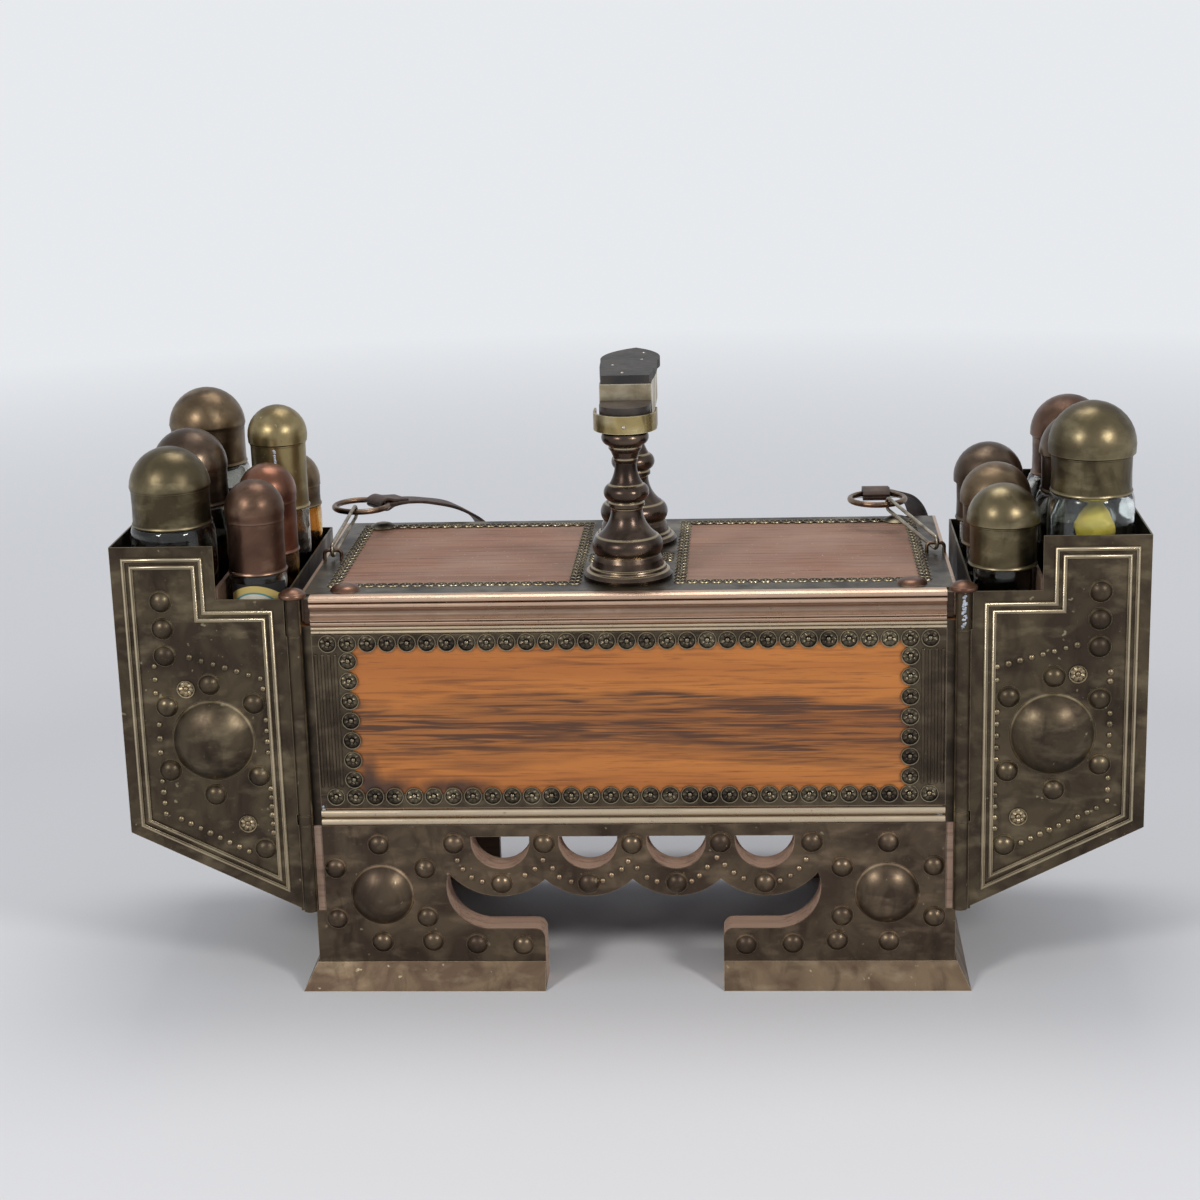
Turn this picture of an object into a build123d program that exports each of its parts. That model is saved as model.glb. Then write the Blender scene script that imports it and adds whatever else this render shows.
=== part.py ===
"""A brass-clad wooden shoe shine box, with two bottle racks hung on its front corners.

Millimetres, +Z up, the front faces -Y, and +X is the right-hand side as seen from the
front. The pieces are drawn from the middle of the chest's front face, and are saved with
the origin on the floor under the middle of the whole object.
"""
import math
import os

from build123d import *

os.makedirs("parts", exist_ok=True)

# Chest, the wooden box
chest_w = 514.0
chest_d = 240.0
board_t = 10.0
base_top = 139.0
floor_t = 10.0
body_top = 306.0
apron_t = 25.0
seam = 0.5

# Feet and the pierced apron between them
foot_gap_half = 72.0
foot_rise = 49.6
foot_corner_r = 8.0
arch_half = 148.0
arch_z = 98.0
arch_step_half = 132.0
scallops = 4
scallop_pitch = 70.5
cusp_z = 92.5
scallop_low_z = 78.0
window_offset = scallop_pitch / 2
window_w = 47.0
window_top = 129.0
window_drop = 28.0

# Plinth strips round the feet
plinth_h = 21.5
plinth_flare = 12.5
plinth_lip = 1.5

# Sheet brass, studs and domes
sheet_t = 1.0
stud_r = 9.0
stud_h = 6.5
foot_dome_r = 26.0
foot_dome_h = 13.0
foot_dome_in = 54.5
foot_dome_z = 80.0
rack_dome_r = 33.5
rack_dome_h = 16.0
rack_dome_in = 62.5
rack_dome_z = 214.5
foot_studs = ((1.0, 43.0), (37.0, 23.0), (-35.5, 22.3), (37.5, -20.5), (-35.7, -19.5),
              (1.8, -41.2), (-39.5, -40.5), (-75.0, -43.0), (-112.5, -44.0))
rack_studs = ((97, 329), (97, 307), (97, 285), (63, 261), (28.5, 245), (98, 243),
              (99, 189.5), (28, 184.5), (64, 169), (26.5, 123))

# Front border of the chest, measured in from the ends, base and top of its front
border_in = 9.0
border_rise = 15.0
border_drop = 7.5
border_t = 1.2
panel_in = 44.0
panel_rise = 32.0
panel_drop = 22.0
rosette_r = 7.2
rosette_pitch = 15.7
rosette_proud = 0.9
reeds = 4
reed_r = 1.5
bead_r = 3.4
bead_pitch = 7.2
bead_rise = 3.5
rim_bead_r = 1.5
rim_bead_drop = 5.8

# Lid
lid_board_t = 20.0
lid_panel_t = 4.0
lid_side_in = 1.0
lid_front_in = 3.0
cornice_in = 9.5
cornice_out = 8.0
cornice_side_t = 2.5
walnut_side_in = 27.0
walnut_gap = 45.0
walnut_front = 32.0
walnut_back_in = 18.0
lid_stud_r = 12.0
lid_stud_h = 4.0
lid_stud_in = 35.0
lid_stud_y = 17.0

# Footrest on the lid. The post's outline is (radius, height) from the lid up to its neck
# and (radius, depth) from the cup down to its neck
post_front_y = 50.0
post_back_y = 165.0
post_h = 117.5
post_foot = ((35.0, 0.0), (35.5, 3.0), (33.0, 6.0), (31.0, 6.6), (30.2, 9.0), (28.6, 9.6),
             (27.3, 15.0), (25.6, 18.5), (26.4, 20.0))
post_bowl = ((28.0, 27.0), (23.5, 34.0))
post_waist = ((15.6, 43.0), (12.4, 54.0))
post_collar = ((12.6, 56.0), (14.3, 57.5), (14.3, 60.0), (13.4, 61.5))
post_ball = ((18.0, 68.0), (13.4, 75.0))
post_neck_r = 9.6
post_rings = ((8.6, 25.5), (9.9, 23.0), (9.9, 20.5), (11.4, 16.5), (13.2, 14.0), (13.2, 12.0),
              (14.0, 11.0))
post_head = ((18.6, 6.0), (16.0, 0.0))
cup_r = 25.0
cup_y = 57.0
cup_wall = 1.8
cup_floor = 2.0
cup_h = 14.0
pad_w = 40.0
pad_h = 17.5
riser_w = 41.4
riser_front = 72.0
riser_len = 114.0
riser_h = 32.5
sole_t = 7.0
sole_w = 46.0
sole_len = 131.0
sole_toe_shift = 3.0

# Lid hinges
hinge_x = 150.0
hinge_w = 60.0
hinge_barrel_r = 4.0
hinge_pin_r = 2.0
hinge_leaf_t = 1.6
hinge_leaf_h = 22.0
hinge_gap = 0.4
pin_clear = 0.08

# Strap and its rings, hooks and staples
staple_in = 10.0
staple_y = 112.0
staple_wire = 3.0
staple_gap = 14.0
staple_rise = 8.0
ring_wire = 4.9
ring_r = 23.0
ring_back_in = 26.0
ring_over = 21.5
left_ring_in = 19.0
right_ring_in = 52.0
hook_wire = 3.0
hook_spread = 10.0
hook_play = 0.3
strap_w = 24.0
strap_t = 3.0
strap_behind = 52.0
strap_low_z = 62.0
strap_drop = 60.0
strap_bend_r = 25.0
strap_play = 0.3

# Rack hinge tubes and pins
pin_out = 3.0
pin_y = -7.0
tube_r = 6.0
rod_r = 3.5
rod_clear = 0.09
knob_r = 11.0
knob_h = 8.0
tube_low = 69.0
mid_eyelet_rise = 4.0
mid_eyelet_h = 8.0
top_eyelet_drop = 6.0
tube_gap = 0.5
eyelet_arm_t = 1.6
eyelet_arm_len = 26.0

# Racks
rack_off = 10.0
rack_w = 135.0
rack_step_w = 53.0
rack_top = 373.0
rack_step_z = 330.0
rack_out_low = 137.0
rack_in_low = 71.0
rack_d = 236.0
rack_sheet = 1.2
rack_board_t = 8.0
rack_gap = 0.3
low_floor_z = 205.0
high_floor_z = 246.0
divider_t = 3.0
divider_top = 338.0
frame_bead_r = 1.4
frame_inset = (9.0, 15.0)

# Bottles: the play beside each row, and how much of a row's free room is in front of each
low_play = 2.35
high_play = 5.65
left_low_shares = (0.309, 0.508, 0.706, 0.905)
right_low_shares = (0.176, 0.363, 0.551)
high_shares = (0.357, 0.552, 0.747)
shoulder_h = 14.0
cap_wall = 1.0
seat_t = 2.0
neck_clear = 0.6

# Caps, front to back: rim height, seam height, top height, skirt radius, dome radius
left_low_caps = ((343, 386, 417, 22.6, 23.0), (345, 388, 418, 22.6, 23.0),
                 (369, 424, 455, 22.8, 24.3), (357, 376, 403, 22.6, 23.0))
left_high_caps = ((381, 411, 443, 31.0, 32.0), (381, 411, 443, 30.0, 30.6),
                  (398, 431, 463, 31.0, 32.0))
right_low_caps = ((341, 374.5, 405, 26.0, 28.5), (342, 375.5, 408, 26.0, 28.5),
                  (347, 378, 411, 26.0, 28.5))
right_high_caps = ((397, 427, 468, 31.0, 33.4), (381, 411, 445, 30.0, 32.0),
                   (379, 411, 445, 29.0, 31.0))

chest_half = chest_w / 2
foot_dome_x = chest_half - foot_dome_in
border_half = chest_half - border_in
border_low = base_top + border_rise
border_high = body_top - border_drop
panel_half = chest_half - panel_in
panel_low = base_top + panel_rise
panel_high = body_top - panel_drop
column_x = panel_half + rosette_r
reed_step = (border_half - column_x - rosette_r) / reeds
bead_low_z = base_top + bead_rise
rim_bead_z = body_top - rim_bead_drop
lid_low = body_top + seam
lid_top = lid_low + lid_board_t + lid_panel_t
cornice_half = chest_half - cornice_in
walnut_half = chest_half - walnut_side_in
walnut_back = chest_d - walnut_back_in
lid_stud_x = chest_half - lid_stud_in
hinge_y = chest_d + hinge_barrel_r + 0.6
hinge_z = body_top + seam / 2
staple_x = chest_half - staple_in
ring_y = chest_d - ring_back_in
ring_z = lid_top + ring_over
left_ring_x = left_ring_in - chest_half
right_ring_x = chest_half - right_ring_in
strap_y = chest_d + strap_behind
pin_x = chest_half + pin_out
mid_eyelet_low = base_top + mid_eyelet_rise
mid_eyelet_high = mid_eyelet_low + mid_eyelet_h
top_eyelet_low = body_top - top_eyelet_drop
top_eyelet_high = rack_step_z + tube_gap
rack_in = chest_half + rack_off
rack_out = rack_in + rack_w
rack_step = rack_in + rack_step_w
rack_dome_x = rack_in + rack_dome_in
rack_front = pin_y
rack_back = rack_front + rack_d
low_x = (rack_in + rack_step) / 2
high_x = (rack_step + rack_out) / 2
low_r = (rack_step_w - rack_sheet - divider_t / 2) / 2 - low_play
high_r = (rack_w - rack_step_w - rack_sheet - divider_t / 2) / 2 - high_play
front_reach = rack_front - sheet_t - rack_dome_h
back_reach = strap_y + strap_w / 2
middle_y = (front_reach + back_reach) / 2


def save(builder, name):
    """Centre a finished piece on the floor frame and write it under its node name."""
    piece = Pos(0, -middle_y, 0) * builder.part
    piece.label = name
    export_step(piece, f"parts/{name}.step")


def ball_radius(rim_r, height):
    """Radius of the ball whose cap has this rim radius and height."""
    return (rim_r**2 + height**2) / (2 * height)


def ball_middle(rim_r, rim_z, top_z):
    """Half-way point of the arc from (rim_r, rim_z) up to the axis at top_z."""
    ball = ball_radius(rim_r, top_z - rim_z)
    centre_z = top_z - ball
    half_turn = math.atan2(rim_r, rim_z - centre_z) / 2
    return (ball * math.sin(half_turn), centre_z + ball * math.cos(half_turn))


def dome_profile(radius, height):
    """Half the outline of a low dome that stands on the sketch's X axis."""
    with BuildLine() as outline:
        Line((0, 0), (radius, 0))
        ThreePointArc((radius, 0), ball_middle(radius, 0, height), (0, height))
        Line((0, height), (0, 0))
    return outline


def front_domes(places, radius, height, face_y):
    """Domes raised toward the front from the plane y = face_y."""
    profile = dome_profile(radius, height)
    with BuildPart() as dome:
        with BuildSketch(Plane.XY):
            add(profile.line)
            make_face()
        revolve(axis=Axis.Y)
    found = []
    for x, z in places:
        found.append(Pos(x, face_y, z) * Rot(180, 0, 0) * dome.part)
    return found


# Apron board

def apron_outline():
    """Sketch of the front lower board: feet, scalloped edge and four windows."""
    scallop_ends = []
    for i in range(scallops + 1):
        x = (i - scallops / 2) * scallop_pitch
        outer = i in (0, scallops)
        scallop_ends.append((x * arch_half / (scallops / 2 * scallop_pitch) if outer else x,
                             arch_z if outer else cusp_z))
    with BuildSketch(Plane.XZ) as board:
        with BuildLine():
            Polyline((-chest_half, 0), (-chest_half, base_top), (chest_half, base_top),
                     (chest_half, 0), (foot_gap_half, 0),
                     (foot_gap_half, foot_rise - foot_corner_r))
            RadiusArc((foot_gap_half, foot_rise - foot_corner_r),
                      (foot_gap_half + foot_corner_r, foot_rise), foot_corner_r)
            Line((foot_gap_half + foot_corner_r, foot_rise), (arch_step_half - 14, foot_rise))
            ThreePointArc((arch_step_half - 14, foot_rise),
                          (arch_half - 5, foot_rise + 14), (arch_half, arch_z))
            for (x1, z1), (x2, z2) in zip(scallop_ends[:0:-1], scallop_ends[-2::-1]):
                ThreePointArc((x1, z1), ((x1 + x2) / 2, scallop_low_z), (x2, z2))
            ThreePointArc((-arch_half, arch_z), (-arch_half + 5, foot_rise + 14),
                          (-arch_step_half + 14, foot_rise))
            Line((-arch_step_half + 14, foot_rise), (-foot_gap_half - foot_corner_r, foot_rise))
            RadiusArc((-foot_gap_half - foot_corner_r, foot_rise),
                      (-foot_gap_half, foot_rise - foot_corner_r), foot_corner_r)
            Polyline((-foot_gap_half, foot_rise - foot_corner_r), (-foot_gap_half, 0),
                     (-chest_half, 0))
        make_face()
        straight = window_drop - window_w / 2
        for x in window_places():
            left, right = x - window_w / 2, x + window_w / 2
            with BuildLine():
                Polyline((left, window_top - straight), (left, window_top),
                         (right, window_top), (right, window_top - straight))
                ThreePointArc((right, window_top - straight), (x, window_top - window_drop),
                              (left, window_top - straight))
            make_face(mode=Mode.SUBTRACT)
    return board


def window_places():
    """Middles of the four apron windows."""
    return [s * (window_offset + k * scallop_pitch) for s in (-1, 1) for k in (0, 1)]


with BuildPart() as apron_board:
    extrude(apron_outline().sketch, amount=apron_t, dir=(0, 1, 0))
save(apron_board, "apron_board")


# Brass plate over the apron, with its domes and studs raised in the sheet

foot_stud_places = [(foot_dome_x + x, foot_dome_z + z) for x, z in foot_studs]
arch_studs = [(0, 122.5), (scallop_pitch, 123.5), (143.0, 123.5),
              (window_offset, 89.3), (window_offset + scallop_pitch, 89.3)]
apron_stud_places = []
for x, z in foot_stud_places + arch_studs:
    apron_stud_places.append((x, z))
    if x:
        apron_stud_places.append((-x, z))

with BuildPart() as apron_plate:
    extrude(apron_outline().sketch, amount=sheet_t, dir=(0, -1, 0))
    with BuildSketch(Plane.XZ):
        Rectangle(2 * chest_w, 2 * plinth_h)
    extrude(amount=2 * sheet_t, both=True, mode=Mode.SUBTRACT)
    add(front_domes([(-foot_dome_x, foot_dome_z), (foot_dome_x, foot_dome_z)],
                    foot_dome_r, foot_dome_h, -sheet_t))
    add(front_domes(apron_stud_places, stud_r, stud_h, -sheet_t))
    with BuildSketch(Plane.XZ.offset(sheet_t)):
        notch_half = chest_half - pin_x + tube_r + 5
        with Locations((-chest_half, base_top), (chest_half, base_top)):
            Rectangle(2 * notch_half, 2 * (base_top - tube_low + 3))
    extrude(amount=-2 * sheet_t, mode=Mode.SUBTRACT)
save(apron_plate, "apron_plate")


# Boards of the chest

with BuildPart() as front_board:
    with BuildSketch(Plane.XZ):
        with Locations((0, (base_top + body_top) / 2)):
            Rectangle(chest_w, body_top - base_top)
    extrude(amount=-board_t)
save(front_board, "front_board")

with BuildPart() as back_board:
    with BuildSketch(Plane.XZ.offset(-(chest_d - board_t))):
        with Locations((0, body_top / 2)):
            Rectangle(chest_w, body_top)
        with Locations((0, foot_rise / 2)):
            Rectangle(2 * arch_step_half, foot_rise, mode=Mode.SUBTRACT)
    extrude(amount=-board_t)
save(back_board, "back_board")

for end_name, side in (("left_end_board", -1), ("right_end_board", 1)):
    with BuildPart() as end_board:
        with BuildSketch(Plane.YZ.offset(side * (chest_half - board_t / 2) - board_t / 2)):
            with BuildLine():
                Polyline((apron_t, 0), (apron_t, base_top), (board_t, base_top),
                         (board_t, body_top), (chest_d - board_t, body_top),
                         (chest_d - board_t, 0), close=True)
            make_face()
        extrude(amount=board_t)
    save(end_board, end_name)

with BuildPart() as floor_board:
    with BuildSketch(Plane.XY.offset(base_top)):
        with Locations((0, chest_d / 2)):
            Rectangle(chest_w - 2 * board_t, chest_d - 2 * board_t)
    extrude(amount=floor_t)
save(floor_board, "floor_board")


# Plinth strips: flared along the front of each foot and along each end

with BuildPart() as plinth_strips:
    for side in (-1, 1):
        with BuildSketch(Plane.XY) as low_ring:
            with BuildLine():
                Polyline((side * foot_gap_half, 0), (side * foot_gap_half, -plinth_flare),
                         (side * (chest_half + plinth_flare), -plinth_flare),
                         (side * (chest_half + plinth_flare), chest_d),
                         (side * chest_half, chest_d), (side * chest_half, 0), close=True)
            make_face()
        with BuildSketch(Plane.XY.offset(plinth_h)) as high_ring:
            with BuildLine():
                Polyline((side * foot_gap_half, 0), (side * foot_gap_half, -plinth_lip),
                         (side * (chest_half + plinth_lip), -plinth_lip),
                         (side * (chest_half + plinth_lip), chest_d),
                         (side * chest_half, chest_d), (side * chest_half, 0), close=True)
            make_face()
        loft(sections=[low_ring.sketch.face(), high_ring.sketch.face()], ruled=True)
save(plinth_strips, "plinth_strips")


# Bead mouldings and the embossed border of the front

bead_rows = [(bead_low_z, bead_r), (bead_low_z + bead_pitch, bead_r),
             (rim_bead_z, rim_bead_r), (rim_bead_z + 2 * rim_bead_r + 0.2, rim_bead_r)]

with BuildPart() as bead_mouldings:
    for z, r in bead_rows:
        with BuildSketch(Plane.YZ.offset(-border_half)):
            with Locations((0, z)):
                Circle(r)
                with Locations((r / 2, 0)):
                    Rectangle(r, 2 * r, mode=Mode.SUBTRACT)
        extrude(amount=2 * border_half)
    with BuildSketch(Plane.XZ):
        with Locations((0, bead_low_z + bead_pitch / 2)):
            Rectangle(2 * border_half, bead_pitch)
        with Locations((0, rim_bead_z + rim_bead_r)):
            Rectangle(2 * border_half, 2 * rim_bead_r)
    extrude(amount=0.6)
save(bead_mouldings, "bead_mouldings")


def rosette_places():
    """Rows above and below the walnut panel, and a column at each side of it."""
    places = []
    per_side = int((border_half - rosette_r) / rosette_pitch)
    for i in range(-per_side, per_side + 1):
        places.append((i * rosette_pitch, panel_low - rosette_r))
        places.append((i * rosette_pitch, panel_high + rosette_r))
    column_span = panel_high - panel_low - 2 * rosette_r
    steps = round(column_span / rosette_pitch)
    for i in range(steps + 1):
        z = panel_low + rosette_r + i * column_span / steps
        places.append((-column_x, z))
        places.append((column_x, z))
    return places


with BuildPart() as front_border:
    with BuildSketch(Plane.XZ):
        with Locations((0, (border_low + border_high) / 2)):
            Rectangle(2 * border_half, border_high - border_low)
        with Locations((0, (panel_low + panel_high) / 2)):
            Rectangle(2 * panel_half, panel_high - panel_low, mode=Mode.SUBTRACT)
    extrude(amount=border_t)
    with BuildSketch(Plane.XZ.offset(border_t)):
        with Locations(rosette_places()):
            Circle(rosette_r)
    extrude(amount=rosette_proud)
    for k in range(reeds):
        x = column_x + rosette_r + (k + 0.5) * reed_step
        for side in (-1, 1):
            with BuildSketch(Plane.XY.offset(panel_low + 1)):
                with Locations((side * x, -border_t)):
                    Circle(reed_r)
                with Locations((side * x, -border_t + reed_r / 2)):
                    Rectangle(2 * reed_r, reed_r, mode=Mode.SUBTRACT)
            extrude(amount=panel_high - panel_low - 2)
save(front_border, "front_border")


# Eyelets on the chest that the rack pins pass through

with BuildPart() as wing_eyelets:
    for side in (-1, 1):
        for low, high in ((mid_eyelet_low, mid_eyelet_high), (top_eyelet_low, top_eyelet_high)):
            with BuildSketch(Plane.XY.offset(low)):
                with Locations((side * pin_x, pin_y)):
                    Circle(tube_r)
                arm_x = chest_half + eyelet_arm_t / 2
                with Locations((side * arm_x, pin_y + eyelet_arm_len / 2)):
                    Rectangle(eyelet_arm_t, eyelet_arm_len)
                with Locations((side * pin_x, pin_y)):
                    Circle(rod_r + rod_clear, mode=Mode.SUBTRACT)
            extrude(amount=high - low)
save(wing_eyelets, "wing_eyelets")


# Lid hinges at the back: three knuckles each, the pin fixed in the outer two

def hinge_half(which, knuckles, leaf_z, leaf_in):
    """Leaves and knuckles of both hinges for one side of the joint."""
    third = hinge_w / 3
    with BuildPart() as half:
        for cx in (-hinge_x, hinge_x):
            for k in knuckles:
                start = cx - hinge_w / 2 + k * third + hinge_gap / 2
                with BuildSketch(Plane.YZ.offset(start)):
                    with Locations((hinge_y, hinge_z)):
                        Circle(hinge_barrel_r)
                    low, high = sorted((hinge_z, leaf_z))
                    with Locations((leaf_in + hinge_leaf_t / 2, (low + high) / 2)):
                        Rectangle(hinge_leaf_t, high - low)
                    with Locations((hinge_y, hinge_z)):
                        Circle(hinge_pin_r + (pin_clear if which == "upper" else 0),
                               mode=Mode.SUBTRACT)
                extrude(amount=third - hinge_gap)
            leaf_start = hinge_z + math.copysign(hinge_barrel_r + 1, leaf_z - hinge_z)
            low, high = sorted((leaf_start, leaf_z))
            with BuildSketch(Plane.XZ.offset(-leaf_in)):
                with Locations((cx, (low + high) / 2)):
                    Rectangle(hinge_w - hinge_gap, high - low)
            extrude(amount=-hinge_leaf_t)
    return half


lower_half = hinge_half("lower", (0, 2), hinge_z - hinge_leaf_h, chest_d)
with BuildPart() as lid_hinge_lower_halves:
    add(lower_half.part)
    for cx in (-hinge_x, hinge_x):
        with BuildSketch(Plane.YZ.offset(cx - hinge_w / 2)):
            with Locations((hinge_y, hinge_z)):
                Circle(hinge_pin_r)
        extrude(amount=hinge_w)
save(lid_hinge_lower_halves, "lid_hinge_lower_halves")

lid_hinge_upper_halves = hinge_half("upper", (1,), hinge_z + hinge_leaf_h, chest_d)
save(lid_hinge_upper_halves, "lid_hinge_upper_halves")


# Lid

lid_half = chest_half - lid_side_in - cornice_side_t

with BuildPart() as lid_board:
    with BuildSketch(Plane.XY.offset(lid_low)):
        with Locations((0, (lid_front_in + chest_d) / 2)):
            Rectangle(2 * lid_half, chest_d - lid_front_in)
        with Locations((-pin_x, pin_y), (pin_x, pin_y)):
            Circle(knob_r + 1.2, mode=Mode.SUBTRACT)
    extrude(amount=lid_board_t)
save(lid_board, "lid_board")

cornice_low = lid_low + 2.5
with BuildPart() as lid_cornice:
    with BuildSketch(Plane.YZ.offset(-cornice_half)):
        with BuildLine():
            Polyline((lid_front_in, lid_low), (-3.0, lid_low), (-3.0, cornice_low))
            Line((-3.0, cornice_low), (-4.6, cornice_low + 0.8))
            ThreePointArc((-4.6, cornice_low + 0.8), (-5.6, cornice_low + 2.2),
                          (-4.6, cornice_low + 3.6))
            ThreePointArc((-4.6, cornice_low + 3.6), (-4.9, cornice_low + 9.0),
                          (-cornice_out + 0.8, cornice_low + 13.0))
            ThreePointArc((-cornice_out + 0.8, cornice_low + 13.0),
                          (-cornice_out - 0.9, cornice_low + 15.0),
                          (-cornice_out + 0.8, cornice_low + 17.0))
            ThreePointArc((-cornice_out + 0.8, cornice_low + 17.0),
                          (-cornice_out + 0.2, cornice_low + 19.6),
                          (-cornice_out + 1.6, lid_top))
            Polyline((-cornice_out + 1.6, lid_top), (lid_front_in, lid_top),
                     (lid_front_in, lid_low))
        make_face()
    extrude(amount=2 * cornice_half)
    for side in (-1, 1):
        with BuildSketch(Plane.XY.offset(lid_low)):
            with Locations((side * (lid_half + cornice_side_t / 2), (8 + chest_d) / 2)):
                Rectangle(cornice_side_t, chest_d - 8)
        extrude(amount=lid_top - lid_low)
save(lid_cornice, "lid_cornice")

panel_z = lid_low + lid_board_t
with BuildPart() as lid_walnut_panels:
    with BuildSketch(Plane.XY.offset(panel_z)):
        for side in (-1, 1):
            with Locations((side * (walnut_half + walnut_gap) / 2,
                            (walnut_front + walnut_back) / 2)):
                Rectangle(walnut_half - walnut_gap, walnut_back - walnut_front)
    extrude(amount=lid_panel_t - 1)
save(lid_walnut_panels, "lid_walnut_panels")

with BuildPart() as lid_stud:
    with BuildSketch(Plane.XZ):
        add(dome_profile(lid_stud_r, lid_stud_h).line)
        make_face()
    revolve(axis=Axis.Z)

with BuildPart() as lid_border_plates:
    with BuildSketch(Plane.XY.offset(panel_z)):
        with Locations((0, (lid_front_in + chest_d) / 2)):
            Rectangle(2 * lid_half, chest_d - lid_front_in)
        for side in (-1, 1):
            with Locations((side * (walnut_half + walnut_gap) / 2,
                            (walnut_front + walnut_back) / 2)):
                Rectangle(walnut_half - walnut_gap, walnut_back - walnut_front,
                          mode=Mode.SUBTRACT)
        with Locations((-pin_x, pin_y), (pin_x, pin_y)):
            Circle(knob_r + 1.2, mode=Mode.SUBTRACT)
    extrude(amount=lid_panel_t)
    for x in (-lid_stud_x, lid_stud_x):
        for y in (lid_stud_y, chest_d - lid_stud_y / 2 - 5):
            add(Pos(x, y, lid_top) * lid_stud.part)
save(lid_border_plates, "lid_border_plates")


# Footrest: two turned posts, the heel cup with its pad, the riser and the sole plate

rings = [(r, post_h - depth) for r, depth in post_rings]
head = [(r, post_h - depth) for r, depth in post_head]
neck_end = rings[0][1]

with BuildPart() as turned_post:
    with BuildSketch(Plane.XZ):
        with BuildLine():
            Polyline((0, 0), *post_foot)
            ThreePointArc(post_foot[-1], *post_bowl)
            ThreePointArc(post_bowl[-1], *post_waist)
            Polyline(post_waist[-1], *post_collar)
            ThreePointArc(post_collar[-1], *post_ball)
            ThreePointArc(post_ball[-1], (post_neck_r, (post_ball[-1][1] + neck_end) / 2),
                          rings[0])
            Polyline(*rings)
            ThreePointArc(rings[-1], *head)
            Polyline(head[-1], (0, post_h), (0, 0))
        make_face()
    revolve(axis=Axis.Z)

with BuildPart() as footrest_posts:
    for y in (post_front_y, post_back_y):
        add(Pos(0, y, lid_top) * turned_post.part)
save(footrest_posts, "footrest_posts")

cup_z = lid_top + post_h


def cup_outline(inset):
    """D shape of the heel cup: round at the front, open straight sides behind."""
    with BuildSketch(Plane.XY.offset(cup_z)) as outline:
        with Locations((0, cup_y)):
            Circle(cup_r - inset)
        with Locations((0, (cup_y + riser_front) / 2)):
            Rectangle(2 * (cup_r - inset), riser_front - cup_y)
        with Locations((0, riser_front + cup_r)):
            Rectangle(4 * cup_r, 2 * cup_r, mode=Mode.SUBTRACT)
    return outline


with BuildPart() as heel_cup:
    extrude(cup_outline(0).sketch, amount=cup_h, dir=(0, 0, 1))
    cup_inner = cup_outline(cup_wall).sketch.moved(Location((0, 0, cup_floor)))
    extrude(cup_inner, amount=cup_h, dir=(0, 0, 1), mode=Mode.SUBTRACT)
save(heel_cup, "heel_cup")

with BuildPart() as heel_pad:
    pad_shape = cup_outline(cup_wall + 3.0).sketch.moved(Location((0, 0, cup_floor)))
    extrude(pad_shape, amount=pad_h, dir=(0, 0, 1))
    with BuildSketch(Plane.XY.offset(cup_z + cup_floor)):
        with Locations((0, cup_y)):
            Rectangle(pad_w, 4 * cup_r)
    extrude(amount=pad_h, mode=Mode.INTERSECT)
save(heel_pad, "heel_pad")

with BuildPart() as riser_block:
    with BuildSketch(Plane.XY.offset(cup_z)):
        with Locations((0, riser_front + riser_len / 2)):
            Rectangle(riser_w, riser_len)
    extrude(amount=riser_h)
save(riser_block, "riser_block")

with BuildPart() as sole_plate:
    with BuildSketch(Plane.XY.offset(cup_z + riser_h)):
        with BuildLine():
            heel_half = sole_w / 2 - 4
            ball_y = riser_front + sole_len * 0.52
            toe = (sole_toe_shift, riser_front + sole_len)
            Line((-heel_half, riser_front), (heel_half, riser_front))
            ThreePointArc((heel_half, riser_front),
                          (sole_w / 2 - 1, riser_front + sole_len * 0.25), (sole_w / 2, ball_y))
            ThreePointArc((sole_w / 2, ball_y),
                          (sole_w / 2 - 6.5 + sole_toe_shift / 2, ball_y + sole_len * 0.33), toe)
            ThreePointArc(toe, (-sole_w / 2 + 6.5 + sole_toe_shift / 2, ball_y + sole_len * 0.33),
                          (-sole_w / 2, ball_y))
            ThreePointArc((-sole_w / 2, ball_y),
                          (-sole_w / 2 + 1, riser_front + sole_len * 0.25),
                          (-heel_half, riser_front))
        make_face()
    extrude(amount=sole_t)
save(sole_plate, "sole_plate")


# Strap staples on the lid, and the hooks, rings and leather strap that turn on them

def wire(points, radius, bend, closed=False):
    """A round wire along straight runs joined by arcs."""
    with BuildPart() as rod:
        with BuildLine() as path:
            FilletPolyline(*points, radius=bend, close=closed)
        start = path.line.edges()[0]
        with BuildSketch(Plane(start @ 0, z_dir=start % 0)):
            Circle(radius)
        sweep(path=path.line)
    return rod.part


bar_z = lid_top + staple_rise

with BuildPart() as strap_staples:
    for side in (-1, 1):
        x1, x2 = side * staple_x - staple_gap / 2, side * staple_x + staple_gap / 2
        add(wire([(x1, staple_y, lid_top), (x1, staple_y, bar_z),
                  (x2, staple_y, bar_z), (x2, staple_y, lid_top)],
                 staple_wire / 2, staple_wire))
save(strap_staples, "strap_staples")


def ring_centre(side):
    """Middle of a strap ring: it lies level above the lid's back edge."""
    return Vector(left_ring_x if side < 0 else right_ring_x, ring_y, ring_z)


with BuildPart() as strap_rings:
    for side in (-1, 1):
        with Locations(ring_centre(side)):
            Torus(ring_r, ring_wire / 2)
save(strap_rings, "strap_rings")

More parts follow.
